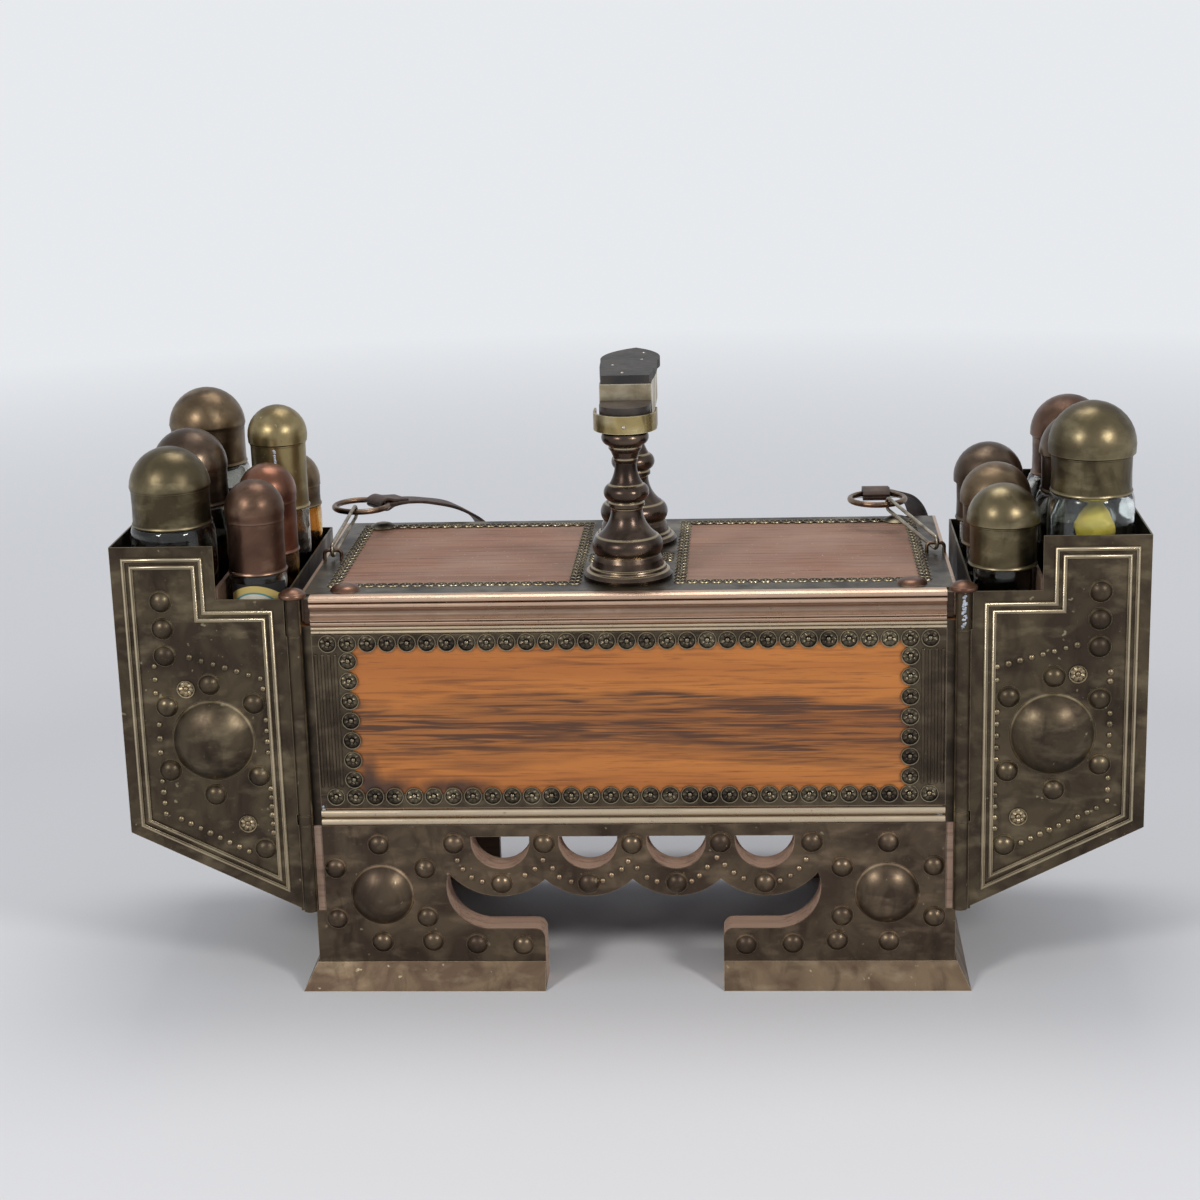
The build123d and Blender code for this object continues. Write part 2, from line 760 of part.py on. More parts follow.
with BuildPart() as strap_hooks:
    for side in (-1, 1):
        bar = Vector(side * staple_x, staple_y, bar_z)
        outward = Vector(bar.X - ring_centre(side).X, bar.Y - ring_centre(side).Y, 0)
        catch = ring_centre(side) + outward.normalized() * ring_r
        along = (catch - bar).normalized()
        across = Vector(along.Y, -along.X, 0).normalized().cross(along) * (hook_spread / 2)
        reach_bar = hook_wire / 2 + hook_play + staple_wire / 2
        reach_ring = hook_wire / 2 + hook_play + ring_wire / 2
        near, far = bar - along * reach_bar, catch + along * reach_ring
        add(wire([near - across, far - across, far + across, near + across],
                 hook_wire / 2, hook_spread / 2 - 0.05, closed=True))
save(strap_hooks, "strap_hooks")


def ribbon(points, bend, plane_normal, width):
    """A flat strap along a planar path; its width lies along the plane's normal."""
    with BuildPart() as strip:
        with BuildLine() as path:
            FilletPolyline(*points, radius=bend)
        with BuildSketch(Plane(path.line @ 0, x_dir=plane_normal, z_dir=path.line % 0)):
            Rectangle(width, strap_t)
        sweep(path=path.line)
    return strip.part


with BuildPart() as carrying_strap:
    ring_inner = math.sqrt((ring_r - ring_wire / 2)**2 - (strap_w / 2)**2)
    slot_back = ring_y + ring_r + ring_wire / 2 + strap_play
    slot_front = ring_y + ring_inner - strap_play
    slot_half_h = ring_wire / 2 + strap_play
    tail_z = ring_z - slot_half_h - strap_t / 2
    for side in (-1, 1):
        cx = ring_centre(side).X
        with BuildSketch(Plane.YZ.offset(cx - strap_w / 2)):
            with Locations(((slot_front + slot_back) / 2, ring_z)):
                RectangleRounded(slot_back - slot_front + 2 * strap_t,
                                 2 * slot_half_h + 2 * strap_t, strap_t)
                Rectangle(slot_back - slot_front, 2 * slot_half_h, mode=Mode.SUBTRACT)
        extrude(amount=strap_w)
        add(ribbon([(cx, slot_back, tail_z), (cx, strap_y, tail_z),
                    (cx, strap_y, ring_z - strap_drop)], strap_bend_r, (1, 0, 0), strap_w))
    half_span = (right_ring_x - left_ring_x) / 2
    with BuildLine() as hang:
        Line((left_ring_x, strap_y, ring_z - strap_drop + strap_w),
             (left_ring_x, strap_y, strap_low_z + half_span))
        ThreePointArc((left_ring_x, strap_y, strap_low_z + half_span),
                      (left_ring_x + half_span, strap_y, strap_low_z),
                      (right_ring_x, strap_y, strap_low_z + half_span))
        Line((right_ring_x, strap_y, strap_low_z + half_span),
             (right_ring_x, strap_y, ring_z - strap_drop + strap_w))
    with BuildSketch(Plane(hang.line @ 0, x_dir=(0, 1, 0), z_dir=hang.line % 0)):
        Rectangle(strap_w, strap_t)
    sweep(path=hang.line)
save(carrying_strap, "carrying_strap")


# Racks, mirrored about the middle of the chest

def rack_outline(side):
    """Front view of a rack as a face: a stepped top and a sloping bottom."""
    with BuildSketch(Plane.XZ) as outline:
        with BuildLine():
            Polyline((side * rack_in, rack_in_low), (side * rack_out, rack_out_low),
                     (side * rack_out, rack_top), (side * rack_step, rack_top),
                     (side * rack_step, rack_step_z), (side * rack_in, rack_step_z),
                     close=True)
        make_face()
    return outline.sketch


def rack_plate(side):
    """Brass front plate, rolled round the pin as a tube along its inner edge."""
    outline = rack_outline(side)
    with BuildPart() as plate:
        extrude(outline.moved(Location((0, rack_front, 0))), amount=sheet_t, dir=(0, -1, 0))
        for inset in frame_inset:
            with BuildSketch(Plane.XZ.offset(-(rack_front - sheet_t))):
                add(outline.face())
                offset(amount=-inset, kind=Kind.INTERSECTION, mode=Mode.REPLACE)
                band = offset(amount=-2 * frame_bead_r, kind=Kind.INTERSECTION,
                              mode=Mode.PRIVATE)
                add(band, mode=Mode.SUBTRACT)
            extrude(amount=frame_bead_r)
        add(front_domes([(side * rack_dome_x, rack_dome_z)], rack_dome_r, rack_dome_h,
                        rack_front - sheet_t))
        add(front_domes([(side * (rack_in + x), z) for x, z in rack_studs], stud_r, stud_h,
                        rack_front - sheet_t))
        segments = ((tube_low, mid_eyelet_low - tube_gap),
                    (mid_eyelet_high + tube_gap, top_eyelet_low - tube_gap))
        for low, high in segments:
            with BuildSketch(Plane.XY.offset(low)):
                with Locations((side * pin_x, pin_y)):
                    Circle(tube_r)
                with Locations((side * (pin_x + rack_in + 1) / 2, pin_y - sheet_t / 2)):
                    Rectangle(rack_in + 1 - pin_x, sheet_t)
            extrude(amount=high - low)
        with BuildSketch(Plane.XY.offset(tube_low)):
            with Locations((side * pin_x, pin_y)):
                Circle(rod_r + rod_clear)
        extrude(amount=top_eyelet_high - tube_low, mode=Mode.SUBTRACT)
    return plate


def rack_tray(side):
    """Folded sheet: inner side, sloping bottom, outer side and back, open at the top."""
    rise = (rack_out_low - rack_in_low) / (rack_out - rack_in)
    lift = rack_sheet * math.sqrt(1 + rise**2)
    inner_in, inner_out = rack_in + rack_sheet, rack_out - rack_sheet
    with BuildPart() as tray:
        extrude(rack_outline(side).moved(Location((0, rack_front, 0))), amount=rack_d,
                dir=(0, 1, 0))
        with BuildSketch(Plane.XZ.offset(-rack_front)):
            with BuildLine():
                Polyline((side * inner_in, rack_in_low + lift + rise * rack_sheet),
                         (side * inner_out, rack_out_low + lift - rise * rack_sheet),
                         (side * inner_out, rack_top + 10), (side * inner_in, rack_top + 10),
                         close=True)
            make_face()
        extrude(amount=-(rack_d - rack_sheet), mode=Mode.SUBTRACT)
    return tray


def rack_boards(side):
    """Wooden shelves for the two rows of bottles, and the divider between them."""
    inner_in = rack_in + rack_sheet + rack_gap
    inner_out = rack_out - rack_sheet - rack_gap
    front, back = rack_front + rack_gap, rack_back - rack_sheet - rack_gap
    with BuildPart() as boards:
        for x1, x2, floor_z in ((inner_in, rack_step, low_floor_z),
                                (rack_step, inner_out, high_floor_z)):
            with BuildSketch(Plane.XY.offset(floor_z)):
                with Locations((side * (x1 + x2) / 2, (front + back) / 2)):
                    Rectangle(x2 - x1, back - front)
            extrude(amount=rack_board_t)
        with BuildSketch(Plane.XY.offset(low_floor_z)):
            with Locations((side * rack_step, (front + back) / 2)):
                Rectangle(divider_t, back - front)
        extrude(amount=divider_top - low_floor_z)
    return boards


def rack_pin(side):
    """Pull-out hinge pin with its mushroom knob."""
    with BuildPart() as pin:
        with BuildSketch(Plane.XZ):
            with BuildLine():
                Polyline((0, tube_low - 1), (rod_r, tube_low - 1), (rod_r, top_eyelet_high),
                         (knob_r - 2.5, top_eyelet_high))
                ThreePointArc((knob_r - 2.5, top_eyelet_high),
                              (knob_r, top_eyelet_high + 2.2),
                              (knob_r - 1.6, top_eyelet_high + 4.4))
                crown_r, crown_z = knob_r - 1.6, top_eyelet_high + 4.4
                knob_top = top_eyelet_high + knob_h
                ThreePointArc((crown_r, crown_z), ball_middle(crown_r, crown_z, knob_top),
                              (0, knob_top))
                Line((0, knob_top), (0, tube_low - 1))
            make_face()
        revolve(axis=Axis.Z)
    with BuildPart() as placed:
        add(Pos(side * pin_x, pin_y, 0) * pin.part)
    return placed


for word, side in (("left", -1), ("right", 1)):
    save(rack_plate(side), f"{word}_rack_plate")
    save(rack_tray(side), f"{word}_rack_tray")
    save(rack_boards(side), f"{word}_rack_boards")
    save(rack_pin(side), f"{word}_rack_pin")


# Bottles and their caps

def bottle(body_r, foot_z, cap):
    """A stoppered bottle from its shelf up to the seat inside its cap."""
    rim_z, seam_z, top_z, skirt_r, dome_r = cap
    ledge_r = min(body_r, skirt_r + 0.5)
    neck_r = min(skirt_r - cap_wall - neck_clear, body_r - 2)
    with BuildPart() as glass:
        with BuildSketch(Plane.XZ):
            with BuildLine():
                Polyline((0, foot_z), (body_r - 3, foot_z), (body_r, foot_z + 3),
                         (body_r, rim_z - shoulder_h))
                ThreePointArc((body_r, rim_z - shoulder_h),
                              (body_r - (body_r - ledge_r) * 0.35 - 0.3, rim_z - shoulder_h * 0.4),
                              (ledge_r - 0.4, rim_z))
                Polyline((ledge_r - 0.4, rim_z), (neck_r, rim_z), (neck_r, seam_z), (0, seam_z),
                         (0, foot_z))
            make_face()
        revolve(axis=Axis.Z)
    return glass.part


def bottle_cap(cap):
    """Spun cap: a skirt, a domed top and a seat ring inside at the seam."""
    rim_z, seam_z, top_z, skirt_r, dome_r = cap
    seat_r = skirt_r - cap_wall - neck_clear - 4
    dome_z = seam_z + 1.5
    inner_r = ball_radius(dome_r, top_z - dome_z) - cap_wall
    inner_top = top_z - cap_wall
    seat_top = seam_z + seat_t
    inner_rim = math.sqrt(inner_r**2 - (seat_top - (inner_top - inner_r))**2)
    with BuildPart() as shell:
        with BuildSketch(Plane.XZ):
            with BuildLine():
                Polyline((skirt_r - cap_wall, rim_z), (skirt_r + 0.6, rim_z),
                         (skirt_r + 0.6, rim_z + 2.5), (skirt_r, rim_z + 3),
                         (skirt_r, seam_z - 0.5), (dome_r, dome_z))
                ThreePointArc((dome_r, dome_z), ball_middle(dome_r, dome_z, top_z), (0, top_z))
                Line((0, top_z), (0, inner_top))
                ThreePointArc((0, inner_top), ball_middle(inner_rim, seat_top, inner_top),
                              (inner_rim, seat_top))
                Polyline((inner_rim, seat_top), (seat_r, seat_top), (seat_r, seam_z),
                         (skirt_r - cap_wall, seam_z), (skirt_r - cap_wall, rim_z))
            make_face()
        revolve(axis=Axis.Z)
    return shell.part


def row_places(radius, shares):
    """Bottles one behind the other, with the row's free room shared out among them."""
    free = rack_d - rack_sheet - 2 * radius * len(shares)
    return [rack_front + radius * (2 * i + 1) + free * share
            for i, share in enumerate(shares)]


rows = (("left_low", -low_x, left_low_shares, low_r, low_floor_z, left_low_caps),
        ("left_high", -high_x, high_shares, high_r, high_floor_z, left_high_caps),
        ("right_low", low_x, right_low_shares, low_r, low_floor_z, right_low_caps),
        ("right_high", high_x, high_shares, high_r, high_floor_z, right_high_caps))

for row, x, shares, body_r, shelf_z, caps in rows:
    places = row_places(body_r, shares)
    for number, (y, cap) in enumerate(zip(places, caps), start=1):
        with BuildPart() as stood:
            add(Pos(x, y, 0) * bottle(body_r, shelf_z + rack_board_t, cap))
        save(stood, f"{row}_bottle_{number}")
        with BuildPart() as capped:
            add(Pos(x, y, 0) * bottle_cap(cap))
        save(capped, f"{row}_cap_{number}")
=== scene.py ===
# %% [markdown]
# A shoe shine box
#
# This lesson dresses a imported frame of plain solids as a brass-clad shoe shine box. The frame
# already has every board, plate, post, bottle and cap in its place, in metres, with +Z up and
# the front towards -Y. We add what plain solids can't show: punched flowers and beads, spun
# caps, real glass, a leather strap, and finishes with wear in them.

# %% Open the frame
import math
import random

import bmesh
import bpy
from mathutils import Matrix, Vector


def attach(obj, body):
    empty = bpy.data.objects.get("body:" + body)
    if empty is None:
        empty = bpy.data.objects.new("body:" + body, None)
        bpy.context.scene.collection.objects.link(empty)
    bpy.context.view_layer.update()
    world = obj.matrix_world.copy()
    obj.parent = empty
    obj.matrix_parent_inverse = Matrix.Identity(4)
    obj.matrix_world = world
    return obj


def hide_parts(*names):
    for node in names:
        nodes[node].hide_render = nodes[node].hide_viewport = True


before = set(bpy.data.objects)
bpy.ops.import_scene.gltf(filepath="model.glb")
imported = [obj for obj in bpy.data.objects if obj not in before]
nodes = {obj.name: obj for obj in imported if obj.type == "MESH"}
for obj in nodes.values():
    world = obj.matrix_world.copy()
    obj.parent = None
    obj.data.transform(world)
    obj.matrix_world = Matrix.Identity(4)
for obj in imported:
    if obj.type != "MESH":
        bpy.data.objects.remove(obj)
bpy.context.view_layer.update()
mm = 0.001


# %% [markdown]
# Sizes in this lesson are in millimetres from the middle of the chest's front face, as a maker
# would measure them. The frame's origin is under the middle of the whole object, 140 mm further
# back, so one small function turns a workshop place into a place in the frame.

# %% Places
front_offset = 140.0


def at(x, y, z):
    """A place measured from the chest's front face, as a point in the frame."""
    return Vector((x * mm, (y - front_offset) * mm, z * mm))


def fresh():
    """Leave edit mode and select nothing."""
    if bpy.context.mode != "OBJECT":
        bpy.ops.object.mode_set(mode="OBJECT")
    bpy.ops.object.select_all(action="DESELECT")


print("chest front stands at y =", at(0, 0, 0).y)


# %% [markdown]
# Every finish below is a small graph of nodes. Writing graphs in code is long-winded, so a few
# helpers add a node, do arithmetic, mix two colours and spread a value over a new range.

# %% Node helpers
def set_inputs(tree, made, inputs):
    """Link or set a node's inputs."""
    for key, value in inputs.items():
        if isinstance(value, bpy.types.NodeSocket):
            tree.links.new(value, made.inputs[key])
        else:
            made.inputs[key].default_value = value


def node(tree, kind, inputs=None, **settings):
    """Add a node, set its options, and link or set its inputs."""
    made = tree.nodes.new(kind)
    for key, value in settings.items():
        setattr(made, key, value)
    set_inputs(tree, made, inputs or {})
    return made


def maths(tree, operation, *values):
    """The result of one arithmetic node."""
    return node(tree, "ShaderNodeMath", dict(enumerate(values)), operation=operation).outputs[0]


def vectors(tree, operation, *values):
    """The result of one vector node, a number for a length or a dot product."""
    made = node(tree, "ShaderNodeVectorMath", dict(enumerate(values)), operation=operation)
    return made.outputs["Value" if operation in ("LENGTH", "DOT_PRODUCT") else "Vector"]


def own_place(tree):
    """The place of each point in the piece's own coordinates."""
    return node(tree, "ShaderNodeTexCoord").outputs["Object"]


def coordinate(tree, axis):
    return node(tree, "ShaderNodeSeparateXYZ", {0: own_place(tree)}).outputs[axis]


def rgba(colour):
    return (*colour, 1.0)


def mixed(tree, factor, a, b):
    """A colour between a and b. Each may be a colour or another node's output."""
    a, b = (c if isinstance(c, bpy.types.NodeSocket) else rgba(c) for c in (a, b))
    # Inputs 6 and 7 and output 2 are the mix node's colours.
    return node(tree, "ShaderNodeMix", {0: factor, 6: a, 7: b}, data_type="RGBA").outputs[2]


def shaped(tree, value, low, high, out_low=0.0, out_high=1.0):
    """Spread the part of a value between low and high over a new range."""
    return node(tree, "ShaderNodeMapRange", {"Value": value, "From Min": low, "From Max": high,
                                             "To Min": out_low, "To Max": out_high}).outputs[0]


def noise(tree, scale, detail=4.0, stretch=None, distortion=0.0):
    """Noise on the piece's own coordinates, stretched if asked."""
    place = own_place(tree)
    if stretch:
        place = node(tree, "ShaderNodeMapping", {"Vector": place, "Scale": stretch}).outputs[0]
    made = node(tree, "ShaderNodeTexNoise", {"Vector": place, "Scale": scale, "Detail": detail,
                                             "Distortion": distortion})
    return made.outputs["Fac"]


def surface(name):
    """A new material with an empty graph and one shader."""
    material = bpy.data.materials.new(name)
    material.use_nodes = True
    tree = material.node_tree
    tree.nodes.clear()
    shader = node(tree, "ShaderNodeBsdfPrincipled")
    node(tree, "ShaderNodeOutputMaterial", {0: shader.outputs[0]})
    return material, tree, shader


def bumped(tree, shader, *layers):
    """Bump a shader with layers of height, strength and depth in metres, one over another."""
    under = {}
    for height, strength, depth in layers:
        inputs = {"Height": height, "Strength": strength, "Distance": depth, **under}
        under = {"Normal": node(tree, "ShaderNodeBump", inputs).outputs[0]}
    set_inputs(tree, shader, under)


print("node helpers ready")


# %% [markdown]
# Old brass is brown where hands don't reach, olive where they do, and pale on every ridge:
# partly wear where cloths rub, partly a painted highlight on the crest. A noise as wide as a
# thumb mixes the brown and the olive. Ambient occlusion darkens the corners: painted shade,
# which also stands for the dirt they hold. Ridges are found in one of two ways: on the frame's
# solids by how far a rounded-off normal leans from the true one, and on our own meshes by
# pointiness. A pale line is also painted just proud of the sheet's face, at the foot of each
# dome: a painted highlight that also stands for wear.

# %% Brass and its cousins
tarnish = 0.72


def old_metal(name, deep, face, worn, rough=0.38, edge_mm=0.6, dents=0.25, marks=0.0,
              own_mesh=False, sheet_face=None, stained=0.45):
    """Patinated metal: deep and face mottled together, painted shade in corners, ridges pale
    from wear and a painted highlight.
    """
    material, tree, shader = surface(name)
    deep, face = ([tarnish * c for c in shade] for shade in (deep, face))
    broad, fine = noise(tree, 24, 6, distortion=0.9), noise(tree, 330, 3)
    streaks = noise(tree, 60, 5, stretch=(0.6, 0.6, 1.3))
    colour = mixed(tree, shaped(tree, broad, 0.40, 0.60), deep, face)
    colour = mixed(tree, shaped(tree, streaks, 0.52, 0.80, 0.0, 0.35), colour, worn)
    stain = noise(tree, 47, 7, stretch=(1.0, 1.0, 0.55), distortion=1.2)
    colour = mixed(tree, shaped(tree, stain, 0.52, 0.66, 0.0, stained), colour,
                   [0.45 * c for c in deep])
    # Painted shade: ambient occlusion darkens corners and hollows, standing also for the dirt
    # they hold.
    shade_and_grime = node(tree, "ShaderNodeAmbientOcclusion", {"Distance": 0.007}, samples=6)
    colour = mixed(tree, shaped(tree, shade_and_grime.outputs["AO"], 0.35, 0.85, 0.75, 0.0), colour,
                   [0.35 * c for c in deep])
    shape = node(tree, "ShaderNodeNewGeometry")
    # Pale ridges: wear where cloths rub, and also a painted highlight on every crest and edge.
    if own_mesh:
        wear_and_highlight = shaped(tree, shape.outputs["Pointiness"], 0.515, 0.60, 0.0, 0.9)
    else:
        rounded = node(tree, "ShaderNodeBevel", {"Radius": edge_mm * mm}, samples=4)
        lean = vectors(tree, "DOT_PRODUCT", rounded.outputs[0], shape.outputs["Normal"])
        wear_and_highlight = shaped(tree, lean, 0.985, 0.86, 0.0, 0.8)
    colour = mixed(tree, wear_and_highlight, colour, worn)
    # Painted highlight: a pale line just proud of the sheet's face, at the foot of each dome and
    # on low ridges, standing also for wear.
    if sheet_face is not None:
        depth = coordinate(tree, "Y")
        face_y = (sheet_face - front_offset) * mm
        near = shaped(tree, depth, face_y - 0.0003, face_y - 0.0007)
        past = shaped(tree, depth, face_y - 0.0015, face_y - 0.0024, 1.0, 0.0)
        foot = maths(tree, "MULTIPLY", near, past)
        foot = maths(tree, "MULTIPLY", foot, shaped(tree, streaks, 0.3, 0.6, 0.2, 0.85))
        colour = mixed(tree, foot, colour, worn)
    colour = mixed(tree, shaped(tree, fine, 0.66, 0.74, 0.0, 0.5), colour, (0.11, 0.12, 0.07))
    if marks:
        spots = noise(tree, 150, 2)
        colour = mixed(tree, shaped(tree, spots, 0.71, 0.76, 0.0, marks), colour,
                       (0.55, 0.47, 0.30))
    worn_rough = shaped(tree, broad, 0.3, 0.7, rough + 0.1, rough - 0.08)
    set_inputs(tree, shader, {"Base Color": colour, "Metallic": 0.92, "Roughness": worn_rough})
    bumped(tree, shader, (noise(tree, 38, 2), dents, 0.002), (fine, 0.16, 0.0004))
    return material


rack_face, apron_face = -8.0, -1.0

brass = old_metal("aged brass", (0.070, 0.051, 0.036), (0.128, 0.097, 0.061),
                  (0.40, 0.32, 0.20), marks=0.4, sheet_face=rack_face)
front_brass = old_metal("brass of the base", (0.090, 0.063, 0.045), (0.165, 0.120, 0.078),
                        (0.44, 0.32, 0.21), rough=0.36, marks=0.4,
                        sheet_face=apron_face)
plinth_brass = old_metal("plinth brass", (0.16, 0.105, 0.07), (0.27, 0.19, 0.12),
                         (0.52, 0.42, 0.28), rough=0.42, marks=0.5)
# These own meshes get pale crests by pointiness: wear with a painted highlight.
bead_brass = old_metal("rubbed brass of the mouldings", (0.085, 0.060, 0.042),
                       (0.16, 0.12, 0.082), (0.60, 0.49, 0.35), rough=0.30, own_mesh=True)
ridge_brass = old_metal("rubbed ridges", (0.085, 0.062, 0.042), (0.20, 0.155, 0.10),
                        (0.58, 0.49, 0.34), rough=0.30, own_mesh=True)
cornice_brass = old_metal("pinkish cornice brass", (0.095, 0.058, 0.044), (0.17, 0.108, 0.080),
                          (0.58, 0.41, 0.30), rough=0.31, own_mesh=True)
reed_brass = old_metal("reeded side sheets", (0.070, 0.052, 0.038), (0.14, 0.108, 0.070),
                       (0.34, 0.27, 0.18), rough=0.36)
punched_brass = old_metal("punched border brass", (0.045, 0.034, 0.026), (0.13, 0.105, 0.070),
                          (0.42, 0.36, 0.24), rough=0.36, own_mesh=True)
cup_brass = old_metal("polished cup brass", (0.19, 0.14, 0.060), (0.58, 0.45, 0.20),
                      (0.88, 0.78, 0.52), rough=0.30, dents=0.15, edge_mm=0.9)
riser_brass = old_metal("pale riser brass", (0.46, 0.38, 0.25), (0.74, 0.65, 0.48),
                        (0.90, 0.84, 0.70), rough=0.40, dents=0.1, edge_mm=1.2)
pin_copper = old_metal("pin heads", (0.15, 0.075, 0.050), (0.25, 0.135, 0.090),
                       (0.50, 0.31, 0.22), rough=0.36)
print("brass finishes:", len(bpy.data.materials))


# %% [markdown]
# The caps are spun from thin sheet and each has aged in its own way, from olive brass to red
# copper. One function makes them all, so only the colours and a few strengths change.

# %% Cap finishes
cap_olive = old_metal("olive cap brass", (0.085, 0.065, 0.036), (0.19, 0.15, 0.082),
                      (0.50, 0.42, 0.25), rough=0.34, dents=0.4, own_mesh=True)
cap_dark = old_metal("dark cap brass", (0.070, 0.046, 0.034), (0.145, 0.098, 0.068),
                     (0.36, 0.27, 0.18), rough=0.34, dents=0.4, own_mesh=True)
cap_gold = old_metal("golden cap brass", (0.19, 0.14, 0.065), (0.36, 0.28, 0.13),
                     (0.62, 0.53, 0.33), rough=0.36, dents=0.5, marks=0.6, own_mesh=True)
cap_brown = old_metal("brown cap brass", (0.12, 0.078, 0.046), (0.23, 0.16, 0.095),
                      (0.46, 0.36, 0.22), rough=0.36, dents=0.4, own_mesh=True)
cap_copper = old_metal("copper cap", (0.105, 0.056, 0.038), (0.185, 0.100, 0.068),
                       (0.42, 0.28, 0.19), rough=0.35, dents=0.45, own_mesh=True)
cap_red = old_metal("red copper cap", (0.14, 0.056, 0.036), (0.23, 0.098, 0.062),
                    (0.50, 0.28, 0.18), rough=0.34, dents=0.45, own_mesh=True)
print("cap finishes ready")


# %% [markdown]
# The footrest posts are turned bronze, nearly black, with thin golden lines at the rings the
# lathe
# cut: a painted highlight on each ring's crest, which also stands for where polishing cloths
# have caught it. The lines are bands in the height above the lid: for each one the distance to
# its height is turned into a mask.

# %% Post bronze
lid_top = 330.5
ring_heights = (6.3, 9.3, 19.2, 33.6, 56.2, 60.8, 75.0, 95.6, 105.0)

post_bronze = old_metal("turned bronze", (0.050, 0.033, 0.026), (0.115, 0.080, 0.062),
                        (0.30, 0.22, 0.15), rough=0.27, dents=0.12)
tree = post_bronze.node_tree
shader = next(n for n in tree.nodes if n.type == "BSDF_PRINCIPLED")
height = coordinate(tree, "Z")
colour = shader.inputs["Base Color"].links[0].from_socket
# Painted highlight: a pale golden line at each ring's height, standing also for polish wear.
for ring in ring_heights:
    away = maths(tree, "ABSOLUTE", maths(tree, "SUBTRACT", height, (lid_top + ring) * mm))
    colour = mixed(tree, shaped(tree, away, 0.0009, 0.0003, 0.0, 0.7), colour,
                   (0.46, 0.37, 0.24))
set_inputs(tree, shader, {"Base Color": colour})
print("golden lines on the posts:", len(ring_heights))


# %% [markdown]
# Walnut has long dark figure. Noise that is stretched along the board gives the fibres and the
# pores, and one broad dark band of fine lines crosses the front panel at half height, as it does
# on the real board. The knots at the lower left are soft dark ovals.

# %% Walnut and plain boards
def oval(tree, x, z, width, tall):
    """A soft mask, 1 inside an oval on the front panel and 0 outside."""
    place = own_place(tree)
    centred = node(tree, "ShaderNodeMapping",
                   {"Vector": place, "Location": (-x / width, 0.0, -z / tall),
                    "Scale": (1 / (width * mm), 0.0, 1 / (tall * mm))})
    wander = node(tree, "ShaderNodeTexNoise", {"Vector": place, "Scale": 60.0, "Detail": 3.0})
    bent = vectors(tree, "ADD", centred.outputs[0], wander.outputs["Color"])
    return shaped(tree, vectors(tree, "LENGTH", bent), 1.75, 0.65, 0.0, 0.9)


def wood(name, dark, mid, light, rough, gloss=0.0, dust=0.0, along="X", front_figure=False):
    """Timber with its grain along an axis. dust is how much of it lies in the grain."""
    material, tree, shader = surface(name)
    stretches = {"X": (1.0, 24.0, 24.0), "Y": (24.0, 1.0, 24.0), "Z": (24.0, 24.0, 1.0)}
    fibre = noise(tree, 13, 8, stretch=stretches[along], distortion=0.5)
    pores = noise(tree, 42, 3, stretch=stretches[along])
    broad = noise(tree, 2.2, 4, stretch=[s ** 0.8 for s in stretches[along]], distortion=0.3)
    colour = mixed(tree, shaped(tree, broad, 0.35, 0.65), mid, light)
    colour = mixed(tree, shaped(tree, fibre, 0.50, 0.70, 0.0, 0.75), colour, dark)
    colour = mixed(tree, shaped(tree, pores, 0.62, 0.72, 0.0, 0.55), colour,
                   [0.4 * c for c in dark])
    if front_figure:
        height = coordinate(tree, "Z")
        wander = shaped(tree, noise(tree, 5, 4, stretch=(1.0, 1.0, 2.5)), 0.3, 0.7,
                        -0.016, 0.016)
        level = maths(tree, "ADD", height, wander)
        top = shaped(tree, level, 0.249, 0.242)
        foot = shaped(tree, level, 0.186, 0.204)
        band = maths(tree, "MULTIPLY", top, foot)
        lines = shaped(tree, noise(tree, 15, 9, stretch=(0.8, 16.0, 22.0), distortion=0.9),
                       0.42, 0.58, 0.35, 1.0)
        colour = mixed(tree, maths(tree, "MULTIPLY", band, lines), colour,
                       (0.075, 0.026, 0.008))
        for x, z, width, tall in ((-187, 174, 18, 8), (-126, 174, 24, 6), (-205, 184, 8, 16)):
            colour = mixed(tree, oval(tree, x, z, width, tall), colour, (0.030, 0.012, 0.006))
    if dust:
        veil, specks = noise(tree, 16, 8), noise(tree, 420, 2)
        colour = mixed(tree, shaped(tree, veil, 0.38, 0.70, 0.05, dust), colour,
                       (0.36, 0.26, 0.20))
        colour = mixed(tree, shaped(tree, specks, 0.70, 0.74, 0.0, dust), colour,
                       (0.66, 0.60, 0.52))
    set_inputs(tree, shader, {
        "Base Color": colour, "Coat Weight": gloss, "Coat Roughness": 0.25,
        "Roughness": shaped(tree, fibre, 0.3, 0.7, rough - 0.07, rough + 0.1)})
    bumped(tree, shader, (pores, 0.25, 0.0004))
    return material


panel_walnut = wood("varnished walnut", (0.15, 0.045, 0.010), (0.39, 0.125, 0.020),
                    (0.50, 0.175, 0.030), 0.50, gloss=0.08, front_figure=True)
lid_walnut = wood("dusty walnut", (0.115, 0.048, 0.030), (0.225, 0.100, 0.058),
                  (0.30, 0.145, 0.085), 0.62, dust=0.42)
edge_wood = wood("sawn board edges", (0.20, 0.115, 0.075), (0.42, 0.27, 0.19),
                 (0.52, 0.35, 0.26), 0.75, dust=0.3)
stain = ((0.045, 0.024, 0.014), (0.11, 0.060, 0.034), (0.155, 0.088, 0.050))
plain_board = wood("stained boards", *stain, 0.60, dust=0.15)
upright_board = wood("stained end boards", *stain, 0.60, dust=0.15, along="Z")
print("timbers: walnut, dusty walnut, sawn edges, stained boards")


# %% [markdown]
# Bottles are clear or dark glass with dye or polish inside. Glass needs real walls to look
# right, so the finish is only a tint, a little roughness from handling, and faint ripples.

